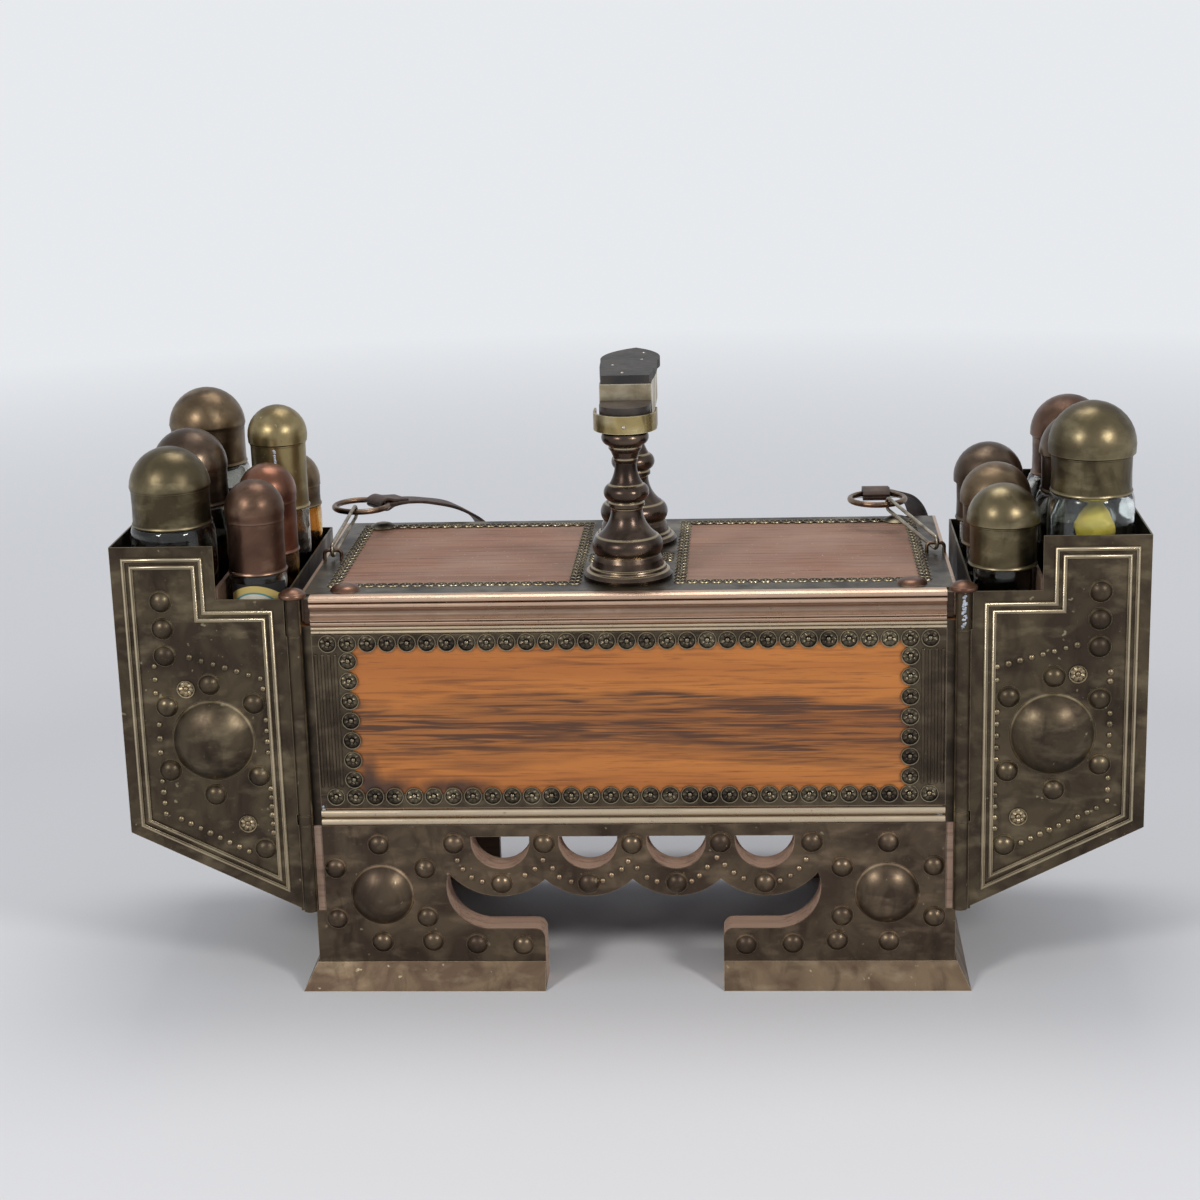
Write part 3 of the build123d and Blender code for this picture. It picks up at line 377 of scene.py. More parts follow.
# %% Glass, liquids, leather and small finishes
def glass(name, tint):
    material, tree, shader = surface(name)
    set_inputs(tree, shader, {
        "Base Color": rgba(tint), "Transmission Weight": 1.0, "IOR": 1.47,
        "Roughness": shaped(tree, noise(tree, 70, 5), 0.45, 0.75, 0.02, 0.2)})
    bumped(tree, shader, (noise(tree, 45, 2), 0.25, 0.0012))
    return material


def soft_finish(name, dark, light, rough, scale=120.0, bump=0.3, depth=0.0006, metal=0.0):
    """A plain material of two mottled colours with a grain in it."""
    material, tree, shader = surface(name)
    broad, fine = noise(tree, scale * 0.25, 4), noise(tree, scale, 5)
    colour = mixed(tree, shaped(tree, broad, 0.35, 0.65), dark, light)
    set_inputs(tree, shader, {
        "Base Color": colour, "Metallic": metal,
        "Roughness": shaped(tree, fine, 0.3, 0.7, rough - 0.08, rough + 0.08)})
    bumped(tree, shader, (fine, bump, depth))
    return material


clear_glass = glass("clear glass", (0.90, 0.95, 0.94))
dark_glass = glass("smoky glass", (0.50, 0.50, 0.47))
amber_glass = glass("amber glass", (0.62, 0.36, 0.12))
black_dye = soft_finish("black dye", (0.004, 0.004, 0.005), (0.016, 0.013, 0.012), 0.18,
                        bump=0.02)
brown_dye = soft_finish("brown dye", (0.030, 0.012, 0.006), (0.070, 0.028, 0.012), 0.2,
                        bump=0.02)
yellow_wax = soft_finish("yellow wax", (0.72, 0.50, 0.04), (0.85, 0.66, 0.10), 0.5, bump=0.6)
leather = soft_finish("old leather", (0.022, 0.012, 0.009), (0.085, 0.048, 0.034), 0.55,
                      scale=260.0, bump=0.5)
pad_black = soft_finish("dark heel pad", (0.020, 0.015, 0.013), (0.060, 0.042, 0.034), 0.42,
                        scale=180.0)
sole_black = soft_finish("blackened sole plate", (0.010, 0.009, 0.009), (0.034, 0.028, 0.024),
                         0.62, scale=150.0, bump=0.3)
nail_steel = soft_finish("nail heads", (0.30, 0.27, 0.23), (0.50, 0.45, 0.38), 0.35, metal=1.0)
hook_metal = soft_finish("worn hook wire", (0.20, 0.17, 0.13), (0.46, 0.41, 0.33), 0.33,
                         scale=300.0, metal=1.0)
ring_metal = soft_finish("ring wire", (0.10, 0.065, 0.045), (0.24, 0.165, 0.115), 0.34,
                         scale=300.0, metal=1.0)
solder = soft_finish("solder", (0.26, 0.29, 0.34), (0.46, 0.50, 0.56), 0.5, scale=420.0,
                     bump=0.8, metal=0.7)
print("materials so far:", len(bpy.data.materials))


# %% [markdown]
# Turned and spun pieces are drawn as half an outline and spun round their axis. By hand: add a
# primitive, merge it to one point, pull that point along the outline with extrude, then spin
# the line. Doubles on the axis are merged before the normals are turned outwards.

# %% The lathe
def start_point(name, place):
    """A new mesh in edit mode that is a single selected point."""
    fresh()
    bpy.ops.mesh.primitive_plane_add(size=0.01)
    obj = bpy.context.object
    obj.name = name
    bpy.ops.object.mode_set(mode="EDIT")
    bpy.ops.mesh.merge(type="CENTER")
    bpy.ops.transform.translate(value=place)
    return obj


def pull_through(points):
    """Extrude the selected point to each place in turn."""
    for a, b in zip(points, points[1:]):
        bpy.ops.mesh.extrude_region_move(TRANSFORM_OT_translate={"value": b - a})


def whole():
    """Select all of the active mesh in edit mode."""
    if bpy.context.mode == "OBJECT":
        bpy.ops.object.mode_set(mode="EDIT")
    bpy.ops.mesh.select_all(action="SELECT")


def tidy_mesh(obj, smooth=35.0):
    """Merge doubles, face outwards, go back to object mode and smooth gentle angles."""
    whole()
    bpy.ops.mesh.remove_doubles(threshold=0.00002)
    bpy.ops.mesh.normals_make_consistent(inside=False)
    bpy.ops.object.mode_set(mode="OBJECT")
    bpy.ops.object.shade_smooth_by_angle(angle=math.radians(smooth))
    return obj


def spun(name, outline, x, y, steps=48):
    """Spin an outline of (radius, height) round the upright line at x, y."""
    points = [at(x + r, y, z) for r, z in outline]
    obj = start_point(name, points[0])
    pull_through(points)
    whole()
    bpy.ops.mesh.spin(steps=steps, angle=math.tau, center=at(x, y, 0), axis=(0, 0, 1))
    return tidy_mesh(obj)


def arc(centre, radius, start, end, steps):
    """Points of an arc in an outline, angles in degrees from the horizontal."""
    turns = [math.radians(start + (end - start) * i / steps) for i in range(steps + 1)]
    return [(centre[0] + radius * math.cos(t), centre[1] + radius * math.sin(t))
            for t in turns]


def finish_piece(obj, material, body, slot_name, *replaced):
    """Give a piece its finish, let it ride on its body, and hide what it stands for."""
    obj.data.materials.clear()
    obj.data.materials.append(material)
    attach(obj, body)
    if replaced:
        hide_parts(*replaced)
    return obj


print("lathe ready")


# %% [markdown]
# Punched flowers, beads and nail heads repeat many times. Each is modelled once, lying flat
# with its face up, and then copied to every place with its own mesh. The copies are joined, so
# a whole row is one piece.

# %% Copying a shape to many places
rng = random.Random(11)


def copies(master, places, name, facing="FRONT", spin=False, sizes=None):
    """Copies of master at each place, facing the front or up, joined as one piece."""
    fresh()
    made = []
    tip = Matrix.Rotation(math.radians(90), 4, "X") if facing == "FRONT" else Matrix()
    for index, place in enumerate(places):
        twin = master.copy()
        twin.data = master.data.copy()
        bpy.context.collection.objects.link(twin)
        turn = Matrix.Rotation(rng.uniform(0, math.tau), 4, "Z") if spin else Matrix()
        size = sizes[index] if sizes else 1.0
        twin.matrix_world = Matrix.Translation(place) @ tip @ turn @ Matrix.Scale(size, 4)
        twin.select_set(True)
        made.append(twin)
    bpy.context.view_layer.objects.active = made[0]
    if len(made) > 1:
        bpy.ops.object.join()
    bpy.ops.object.transform_apply(location=True, rotation=True, scale=True)
    obj = bpy.context.object
    obj.name = name
    print(name, "-", len(places), "copies,", len(obj.data.polygons), "faces")
    return obj


# %% [markdown]
# The flower is eight petals in a ring with a boss in the middle. It starts as a disc with two
# sides for each petal. Each inset makes a smaller ring and lifts or sinks it, and then every
# second point of the rings in the middle of the petals is pushed down to part them.

# %% One flower
petal_points = 16
petal_from, petal_to, petal_dip = 0.38, 0.72, 0.13


def flower_master(radius):
    """An embossed flower, radius in mm, face up at the origin."""
    fresh()
    bpy.ops.mesh.primitive_circle_add(vertices=petal_points, radius=radius * mm,
                                      fill_type="NGON")
    obj = bpy.context.object
    whole()
    steps = ((0.06, 0.16), (0.07, -0.02), (0.07, -0.10), (0.16, 0.14), (0.22, 0.02),
             (0.14, -0.14), (0.05, 0.12), (0.10, 0.07))
    for inward, rise in steps:
        bpy.ops.mesh.inset(thickness=inward * radius * mm, depth=rise * radius * mm)
    bpy.ops.mesh.select_all(action="DESELECT")
    mesh = bmesh.from_edit_mesh(obj.data)
    for vert in mesh.verts:
        reach = vert.co.xy.length / (radius * mm)
        sector = round(math.atan2(vert.co.y, vert.co.x) / (math.tau / petal_points)) % 2
        vert.select = sector == 1 and petal_from < reach < petal_to
    mesh.select_flush(True)
    bmesh.update_edit_mesh(obj.data)
    bpy.ops.transform.translate(value=(0, 0, -petal_dip * radius * mm))
    bpy.ops.object.mode_set(mode="OBJECT")
    bpy.ops.object.shade_smooth_by_angle(angle=math.radians(30))
    return obj


def dome_master(radius, rise):
    """Half a ball, flattened to its rise, face up at the origin."""
    fresh()
    bpy.ops.mesh.primitive_ico_sphere_add(subdivisions=2, radius=radius * mm)
    obj = bpy.context.object
    whole()
    bpy.ops.mesh.bisect(plane_co=(0, 0, 0), plane_no=(0, 0, 1), clear_inner=True,
                        use_fill=True)
    whole()
    bpy.ops.transform.resize(value=(1, 1, rise / radius), center_override=(0, 0, 0))
    bpy.ops.object.mode_set(mode="OBJECT")
    bpy.ops.object.shade_smooth_by_angle(angle=math.radians(60))
    return obj


flower = flower_master(7.6)
small_flower = flower_master(5.2)
bead = dome_master(2.5, 2.0)
nail = dome_master(1.5, 0.8)
print("flower faces:", len(flower.data.polygons), "bead faces:", len(bead.data.polygons))


# %% [markdown]
# The front border is a thin frame with a row of flowers on each side. The flowers overhang the
# frame's inner edge, which gives the scalloped outline against the wood. Outside the flower
# columns the sheet is reeded with upright half-rounds.

# %% Front border
def drawn_out(name, points, along, smooth=35.0):
    """Trace an outline from point to point, fill it and draw it out."""
    obj = start_point(name, points[0])
    pull_through(points)
    whole()
    bpy.ops.mesh.edge_face_add()
    bpy.ops.mesh.extrude_region_move(TRANSFORM_OT_translate={"value": along})
    return tidy_mesh(obj, smooth)


def slab(name, corners, y, thick):
    """A flat plate on the front, from an outline of (x, z) corners, pulled forward."""
    return drawn_out(name, [at(x, y, z) for x, z in corners], (0, -thick * mm, 0))


def joined(name, parts):
    """Several finished meshes as one piece."""
    fresh()
    for part in parts:
        part.select_set(True)
    bpy.context.view_layer.objects.active = parts[0]
    bpy.ops.object.join()
    parts[0].name = name
    return parts[0]


def rectangle(x1, z1, x2, z2):
    return [(x1, z1), (x2, z1), (x2, z2), (x1, z2)]


flower_y, flower_step, flower_rows = -1.0, 15.7, (291.2, 163.8)
column_x, column_low, column_high, column_count = 220.2, 178.2, 98.6, 7
border_half, border_thick, low_edge, high_edge = 248, 1.2, 165.5, 289.5

flower_places = []
for i in range(-15, 16):
    flower_places += [at(i * flower_step, flower_y, z) for z in flower_rows]
for i in range(column_count):
    for side in (-1, 1):
        z = column_low + i * column_high / (column_count - 1)
        flower_places.append(at(side * column_x, flower_y, z))
sheets = [slab("top", rectangle(-border_half, high_edge, border_half, 298.5), 0, border_thick),
          slab("low", rectangle(-border_half, 154, border_half, low_edge), 0, border_thick)]
for side in (-1, 1):
    column = rectangle(side * 219.5, low_edge, side * border_half, high_edge)
    sheets.append(slab("side", column, 0, border_thick))
    sheets.append(slab("edge", rectangle(side * 246, 139.5, side * 256.8, 305.5), 0, 0.8))
    for k in range(4):
        x = side * (227.4 + (k + 0.5) * 5.15)
        reed = slab("reed", rectangle(x - 1.5, 172, x + 1.5, 283), -0.6, 2.0)
        whole()
        bpy.ops.mesh.bevel(offset=1.1 * mm, segments=3, affect="EDGES")
        tidy_mesh(reed, 60)
        sheets.append(reed)
border = joined("front_border_sheet", sheets)
finish_piece(border, reed_brass, "chest", "aged_brass", "front_border")
blooms = copies(flower, flower_places, "front_flowers", spin=True)
finish_piece(blooms, punched_brass, "chest", "aged_brass")
print("front border faces:", len(border.data.polygons))


# %% [markdown]
# The mouldings are long strips with one outline from end to end: two fat half-rounds under the
# panel, a pair of fine ones above it, and the lid's cornice with two beads, a cove and two more
# beads below. Each outline is traced point by point at one end and drawn out along the front.
# Fine arcs matter here, because the finish wears the crests that pointiness finds.

# %% Mouldings and cornice
def moulding(name, outline, half_length):
    """A strip along the front with one outline of (y, z) points from end to end."""
    return drawn_out(name, [at(-half_length, y, z) for y, z in outline],
                     (2 * half_length * mm, 0, 0), 50)


def half_round(y, z, r, steps=8):
    """Points of a half-round that stands proud of y towards the front, from low to high."""
    turns = [math.radians(-90 + 180 * i / steps) for i in range(steps + 1)]
    return [(y - r * math.cos(t), z + r * math.sin(t)) for t in turns]


strips = []
for z, r in ((142.5, 3.3), (149.7, 3.3), (300.3, 1.5), (303.5, 1.5)):
    strips.append(moulding("strip", [(0, z - r - 0.2)] + half_round(-0.1, z, r)
                           + [(0, z + r + 0.2)], border_half))
piece = joined("bead_strips", strips)
finish_piece(piece, bead_brass, "chest", "aged_brass", "bead_mouldings")

cove = [(-7.0 + 3.6 * math.sin(math.radians(t)), 321.4 - 9.0 * t / 180)
        for t in range(0, 181, 18)]
lid_low = 306.5
cornice = [(3.0, lid_low), (-3.2, lid_low)]
for y, z, r in ((-3.4, 308.3, 1.1), (-3.8, 310.9, 1.1)):
    cornice += half_round(y, z, r, 6)
cornice += cove[::-1]
for y, z, r in ((-6.6, 323.5, 1.9), (-6.2, 328.0, 2.1)):
    cornice += half_round(y, z, r, 8)
cornice += [(-5.8, lid_top), (3.0, lid_top)]
strips = [moulding("cornice_front", cornice, 247.5)]
for side in (-1, 1):
    strips.append(slab("side", rectangle(side * 253.5, lid_low, side * 256, lid_top), 240,
                       232))
piece = joined("cornice", strips)
finish_piece(piece, cornice_brass, "lid", "aged_brass", "lid_cornice")
print("moulding faces:", len(piece.data.polygons))


# %% [markdown]
# Small beads follow the arcs of the apron and frame the domes of the racks. They are raised in
# the sheet on the real box. Here each row of a rack is given by its two ends and a count, and
# the apron's beads, which follow arcs of their own, one by one.

# %% Beads of the apron and the racks
apron_beads = ((-140.7, 109.0), (-136.5, 101.3), (-129.8, 94.4), (-121.3, 90.6),
               (-86.6, 96.2), (-78.3, 101.3), (-71.7, 109.0), (-64.1, 102.1),
               (-59.0, 94.4), (-49.5, 90.3), (-24.0, 91.0), (-16.9, 95.9), (-8.8, 100.7),
               (-3.3, 107.5), (3.8, 101.8), (11.4, 94.0), (19.5, 90.4), (47.2, 90.5),
               (53.4, 95.0), (59.9, 102.5), (67.6, 110.6), (73.8, 104.3), (80.9, 97.5),
               (88.8, 92.7), (117.8, 90.6), (126.0, 94.7), (132.9, 100.9), (138.5, 108.5))
piece = copies(bead, [at(x, apron_face, z) for x, z in apron_beads], "apron_beads")
finish_piece(piece, front_brass, "chest", "aged_brass")

left_rows = (((372.8, 276.2), (373.3, 254.3), 3), ((372.5, 227.9), (373.1, 204.6), 3),
             ((373.5, 180.5), (372.5, 152.8), 4), ((360.5, 148.3), (307.4, 120.2), 8),
             ((287.5, 256.9), (287.5, 256.9), 1), ((286.7, 231.1), (286.7, 204.1), 4),
             ((286.5, 173.6), (286.5, 136.3), 6), ((344.4, 283.3), (289.0, 265.4), 7))
right_rows = (((286.2, 269.4), (347.1, 286.3), 8), ((286.1, 258.6), (286.1, 258.6), 1),
              ((286.5, 232.6), (286.5, 193.8), 5), ((286.0, 173.4), (286.0, 136.5), 5),
              ((372.9, 264.3), (372.9, 257.0), 2), ((373.2, 231.0), (373.2, 204.7), 4),
              ((373.1, 178.0), (373.1, 159.2), 3), ((365.0, 153.1), (307.0, 124.5), 9))
left_flowers, right_flowers = ((349.0, 257.1), (306.8, 144.0)), ((348.1, 262.8), (304.3, 146.3))
for word, side, rows, blooms in (("left", -1, left_rows, left_flowers),
                                 ("right", 1, right_rows, right_flowers)):
    places = []
    for (x1, z1), (x2, z2), count in rows:
        for i in range(count):
            t = i / max(count - 1, 1)
            places.append(at(side * (x1 + (x2 - x1) * t), rack_face, z1 + (z2 - z1) * t))
    sizes = [rng.uniform(0.9, 1.15) for _ in places]
    rows_piece = copies(bead, places, "beads", sizes=sizes)
    flowers_piece = copies(flower, [at(side * x, rack_face, z) for x, z in blooms],
                           "blooms", spin=True)
    finish_piece(joined(f"{word}_rack_beads", [rows_piece, flowers_piece]), brass,
                 f"{word}_rack", "aged_brass")


# %% [markdown]
# Two raised lines run round each rack plate. They are half-round on the real sheet, so each is
# drawn as a closed curve set in from the plate's edge and given a round section.

# %% Ridges round the rack plates
def inset_corners(corners, distance):
    """The corners of a closed outline, moved inwards by a distance."""
    moved = []
    for i, here in enumerate(corners):
        before, after = corners[i - 1], corners[(i + 1) % len(corners)]
        lines = []
        for a, b in ((before, here), (here, after)):
            run = Vector(b) - Vector(a)
            normal = Vector((-run.y, run.x)).normalized()
            lines.append((normal, normal.dot(Vector(a)) + distance))
        (n1, c1), (n2, c2) = lines
        cross = n1.x * n2.y - n1.y * n2.x
        moved.append(((c1 * n2.y - c2 * n1.y) / cross, (n1.x * c2 - n2.x * c1) / cross))
    return moved


def new_curve(name):
    curve = bpy.data.curves.new(name, "CURVE")
    curve.dimensions = "3D"
    return curve


def curve_mesh(name, curve):
    """A finished curve as a mesh, selected and active."""
    obj = bpy.data.objects.new(name, curve)
    bpy.context.collection.objects.link(obj)
    fresh()
    obj.select_set(True)
    bpy.context.view_layer.objects.active = obj
    bpy.ops.object.convert(target="MESH")
    return obj


def ridge(name, corners, y, radius):
    """A round bar along a closed outline on the front."""
    curve = new_curve(name)
    curve.bevel_depth = radius * mm
    curve.bevel_resolution = 3
    path = curve.splines.new("POLY")
    path.points.add(len(corners) - 1)
    for knot, (x, z) in zip(path.points, corners):
        knot.co = (*at(x, y, z), 1.0)
    path.use_cyclic_u = True
    return tidy_mesh(curve_mesh(name, curve), 50)


rack_corners = [(267, 71), (402, 137), (402, 373), (320, 373), (320, 330), (267, 330)]
for word, side in (("left", -1), ("right", 1)):
    bars = []
    for inset in (10.4, 16.4):
        corners = [(side * x, z) for x, z in inset_corners(rack_corners, inset)]
        bars.append(ridge("ridge", corners, rack_face, 2.0))
    finish_piece(joined(f"{word}_rack_ridges", bars), ridge_brass, f"{word}_rack",
                 "aged_brass")


# %% [markdown]
# The lid's brass border is punched with small leaves round both walnut panels, and two copper
# domes hold its front corners. The leaves are the smaller flower, set close, in one row that
# follows each panel.

# %% Lid ornament
def around(x1, y1, x2, y2, step):
    """Evenly spaced places on a rectangle's sides."""
    spots = []
    for (ax, ay), (bx, by) in (((x1, y1), (x2, y1)), ((x2, y1), (x2, y2)),
                               ((x2, y2), (x1, y2)), ((x1, y2), (x1, y1))):
        count = max(1, round(math.hypot(bx - ax, by - ay) / step))
        for i in range(count):
            spots.append((ax + (bx - ax) * i / count, ay + (by - ay) * i / count))
    return spots


leaf_z = lid_top - 0.2
leaf_places = []
for side in (-1, 1):
    for x, y in around(side * 41.5, 28.5, side * 233.5, 225.5, 9.8):
        leaf_places.append(at(x, y, leaf_z))
for y in (100, 108, 116):
    leaf_places += [at(-30, y, leaf_z), at(30, y, leaf_z)]
piece = copies(small_flower, leaf_places, "lid_border_leaves", facing="UP", spin=True)
finish_piece(piece, punched_brass, "lid", "aged_brass")

corner = dome_master(12.4, 4.6)
piece = copies(corner, [at(x, 17, lid_top) for x in (-222, 222)], "copper_corner_studs",
               facing="UP")
finish_piece(piece, pin_copper, "lid", "aged_brass")

sole_z = 487.4
nail_places = ((-12.2, 118.9), (10.2, 143.8), (-2.9, 83.3), (10.6, 176.1))
piece = copies(nail, [at(x, y, sole_z) for x, y in nail_places], "sole_nails", facing="UP")
finish_piece(piece, nail_steel, "lid", "bright_wire")
piece = copies(nail, [at(0, 32.2, 453.5)], "heel_cup_nail")
finish_piece(piece, nail_steel, "lid", "bright_wire")


# %% [markdown]
# Caps are spun sheet: a straight skirt with a rolled rim, a lap where the dome is joined on,
# and the dome. The wall is modelled too, because a cap that is lifted shows its inside.

# %% Spun caps
def dome_points(rim_r, rim_z, top_z, steps=10):
    """Outline of a round crown from its rim to the axis."""
    rise = top_z - rim_z
    ball = (rim_r ** 2 + rise ** 2) / (2 * rise)
    centre = top_z - ball
    start = math.degrees(math.atan2(rim_z - centre, rim_r))
    points = arc((0, centre), ball, start, 90, steps)
    return points[:-1] + [(0, top_z)]


def spun_cap(name, x, y, rim, seam, top, skirt, dome, material, slot_name):
    lip = skirt + 0.6
    outline = [(skirt - 1, rim + 0.2), (skirt, rim - 0.1), (lip, rim + 0.3),
               (lip + 0.35, rim + 1.2), (lip, rim + 2.2), (skirt, rim + 3.0),
               (skirt - 0.25, (rim + seam) / 2), (skirt, seam - 1.6),
               (skirt + 0.45, seam - 1.2), (skirt + 0.5, seam - 0.2), (dome, seam + 1.0)]
    outline += dome_points(dome, seam + 2.0, top)
    inner = dome_points(dome - 1.2, seam + 2.0, top - 1.2)
    outline += inner[::-1]
    outline += [(skirt - 1.0, seam + 1.0), (skirt - 1.0, rim + 0.2)]
    obj = spun(f"{name}_spun", outline, x, y)
    return finish_piece(obj, material, name, slot_name, name)


low_x, high_x = 293.5, 361.0
rows = {
    "left_low": (-low_x, (32, 88, 144, 200),
                 ((343, 386, 417, 22.6, 23.0, cap_copper), (345, 388, 418, 22.6, 23.0, cap_red),
                  (369, 424, 455, 22.8, 24.3, cap_gold),
                  (357, 376, 403, 22.6, 23.0, cap_brown))),
    "left_high": (-high_x, (38, 112, 186),
                  ((381, 411, 443, 31.0, 32.0, cap_olive),
                   (381, 411, 443, 30.0, 30.6, cap_dark),
                   (398, 431, 463, 31.0, 32.0, cap_brown))),
    "right_low": (low_x, (33, 97, 161),
                  ((341, 374.5, 405, 26.0, 28.5, cap_olive),
                   (342, 375.5, 408, 26.0, 28.5, cap_brown),
                   (347, 378, 411, 26.0, 28.5, cap_dark))),
    "right_high": (high_x, (38, 112, 186),
                   ((397, 427, 468, 31.0, 33.4, cap_olive),
                    (381, 411, 445, 30.0, 32.0, cap_dark),
                    (379, 411, 445, 29.0, 31.0, cap_copper)))}
for row, (x, ys, caps) in rows.items():
    for number, (y, cap) in enumerate(zip(ys, caps), start=1):
        *sizes, material = cap
        node_name = f"{row}_cap_{number}"
        slot_name = "copper" if material in (cap_copper, cap_red) else "cap_brass"
        spun_cap(node_name, x, y, *sizes, material, slot_name)
    print(row, "caps:", len(caps))


# %% [markdown]
# A bottle is one closed wall: up the outside from the foot over the shoulder to the mouth, and
# down the inside again. The dye is a second body just inside the wall. The large jar is pressed
# glass with upright flutes, made by drawing every second column of points inwards.

# %% Bottles
def bottle_outline(r, foot, rim, seam, skirt, shoulder=14.0):
    neck = min(skirt - 1.6, r - 2)
    ledge = min(r, skirt + 0.5) - 0.4
    turn = rim - shoulder
    outer = [(0, foot + 1.5), (r - 8, foot + 1.0), (r - 5, foot), (r - 2, foot + 0.5),
             (r, foot + 3), (r, turn)]
    outer += [(ledge + (r - ledge) * math.cos(t * math.pi / 12),
               turn + (shoulder - 0.4) * math.sin(t * math.pi / 12)) for t in range(1, 6)]
    outer += [(ledge, rim - 0.2), (neck, rim), (neck, seam)]
    inner = [(neck - 2, seam), (neck - 2, rim - 3), (r - 3, turn - 2), (r - 2.4, turn - 6),
             (r - 2.4, foot + 6), (r - 6, foot + 4), (0, foot + 4)]
    return outer + inner


def fill_outline(r, foot, level):
    inside = r - 2.6
    return [(0, foot + 4.3), (r - 6.2, foot + 4.3), (inside, foot + 6.4), (inside, level),
            (inside - 1.0, level - 0.8), (0, level - 0.8)]


flute_from_m, flute_share = 0.030, 0.035


def fluted(obj, x, y, columns):
    """Draw every second column of the outside in towards the axis."""
    centre = at(x, y, 0)
    for vert in obj.data.vertices:
        away = Vector((vert.co.x - centre.x, vert.co.y - centre.y))
        column = round(math.atan2(away.y, away.x) / (math.tau / columns))
        if column % 2 and away.length > flute_from_m:
            vert.co.x -= away.x * flute_share
            vert.co.y -= away.y * flute_share


low_body_r, high_body_r = 22.8, 34.0
low_shelf, high_shelf = 213.0, 254.0
contents = {"left_low_1": (brown_dye, 322), "left_high_3": (brown_dye, 330),
            "left_low_4": (brown_dye, 300), "right_low_3": (brown_dye, 310)}
glasses = {"left_low_4": amber_glass, "left_low_2": amber_glass, "right_high_1": clear_glass}
for row, (x, ys, caps) in rows.items():
    low = "low" in row
    body_r, shelf = (low_body_r, low_shelf) if low else (high_body_r, high_shelf)
    for number, (y, cap) in enumerate(zip(ys, caps), start=1):
        key, rim, seam, skirt = f"{row}_{number}", cap[0], cap[1], cap[3]
        name = f"{row}_bottle_{number}"
        jar = key == "right_high_1"
        shoulder = 5.5 if key == "left_low_1" else 14.0
        outline = bottle_outline(body_r, shelf, rim, seam, skirt, shoulder)
        wall = spun(f"{name}_wall", outline, x, y, 32 if jar else 40)
        if jar:
            fluted(wall, x, y, 32)
        finish_piece(wall, glasses.get(key, dark_glass), name,
                     "clear_glass" if jar else "dark_glass", name)
        if jar:
            continue
        dye, level = contents.get(key, (black_dye, rim - 24))
        fill = spun(f"{name}_contents", fill_outline(body_r, shelf, level), x, y, 40)
        finish_piece(fill, dye, name, "dark_glass")
    print(row, "bottles:", len(caps))


# %% [markdown]
# A lump of yellow wax stands in the clear jar. It starts as a coarse ball and is pushed out of
# shape by moving its points at random, then smoothed with a subdivision modifier.

# %% Wax in the clear jar
def modified(obj, kind, **settings):
    """Add a modifier, set its options and apply it."""
    bpy.ops.object.modifier_add(type=kind)
    for key, value in settings.items():
        setattr(obj.modifiers[0], key, value)
    bpy.ops.object.modifier_apply(modifier=obj.modifiers[0].name)


wax_r, wax_push = 0.017, 0.0028
fresh()
bpy.ops.mesh.primitive_ico_sphere_add(subdivisions=2, radius=wax_r, location=at(363, 30, 371))
lump = bpy.context.object
bpy.ops.object.transform_apply(location=True, rotation=True, scale=True)
for vert in lump.data.vertices:
    vert.co += Vector([rng.uniform(-1, 1) for _ in range(3)]) * wax_push
modified(lump, "SUBSURF")
bpy.ops.object.shade_smooth()
lump.name = "wax_lump"
finish_piece(lump, yellow_wax, "right_high_bottle_1", "clear_glass")
print("wax lump faces:", len(lump.data.polygons))


# %% [markdown]
# One bottle keeps its paper label, an arched one, left without lettering. The paper is a short
# upright line spun part of the way round the bottle, so it lies on the glass. The arch and its
# coloured edge are drawn by distance from a point low on the label's middle.

# %% Blank paper label
label_x, label_y, label_r, arch_z = -low_x, 32.0, 23.0, 310.3
paper, tree, shader = surface("arched paper label")
offset = vectors(tree, "SUBTRACT", own_place(tree), at(label_x, label_y, arch_z))
reach = vectors(tree, "LENGTH", vectors(tree, "MULTIPLY", offset, (1, 0, 1)))
colour = mixed(tree, shaped(tree, noise(tree, 120, 5), 0.3, 0.7), (0.62, 0.58, 0.47),
               (0.74, 0.71, 0.62))
for start, shade in ((0.0190, (0.10, 0.30, 0.30)), (0.0204, (0.62, 0.47, 0.16)),
                     (0.0256, (0.010, 0.009, 0.009))):
    colour = mixed(tree, shaped(tree, reach, start, start + 0.0003), colour, shade)
set_inputs(tree, shader, {"Base Color": colour, "Roughness": 0.62})
line = [at(label_x - label_r, label_y, 296 + 4.1 * i) for i in range(11)]
label = start_point("arched_label", line[0])
pull_through(line)
whole()
bpy.ops.mesh.spin(steps=24, angle=math.radians(128), center=at(label_x, label_y, 0),
                  axis=(0, 0, 1))
whole()
bpy.ops.transform.rotate(value=math.radians(195), orient_axis="Z",
                         center_override=at(label_x, label_y, 0))
tidy_mesh(label)
finish_piece(label, paper, "left_low_bottle_1", "dark_glass")
low, high = label.bound_box[0], label.bound_box[6]
print("label from", [round(v, 3) for v in low], "to", [round(v, 3) for v in high])


# %% [markdown]
# Later repairs left lumps of grey solder: down the side of the tall cap, on the right-hand tube
# and at the lower corners of the front. Each is a run of small flattened lumps of mixed sizes.

# %% Solder
def solder_run(name, body, slot_name, ends, count, wander):
    """Lumps of solder in a wandering line between two places on the front."""
    first, last = (Vector(end) for end in ends)
    places = []
    for i in range(count):
        x, y, z = first + (last - first) * (i / (count - 1))
        places.append(at(x + rng.uniform(-wander, wander), y, z + rng.uniform(-1, 1)))
    lumps = copies(bead, places, name, sizes=[rng.uniform(0.3, 0.6) for _ in places])
    finish_piece(lumps, solder, body, slot_name)


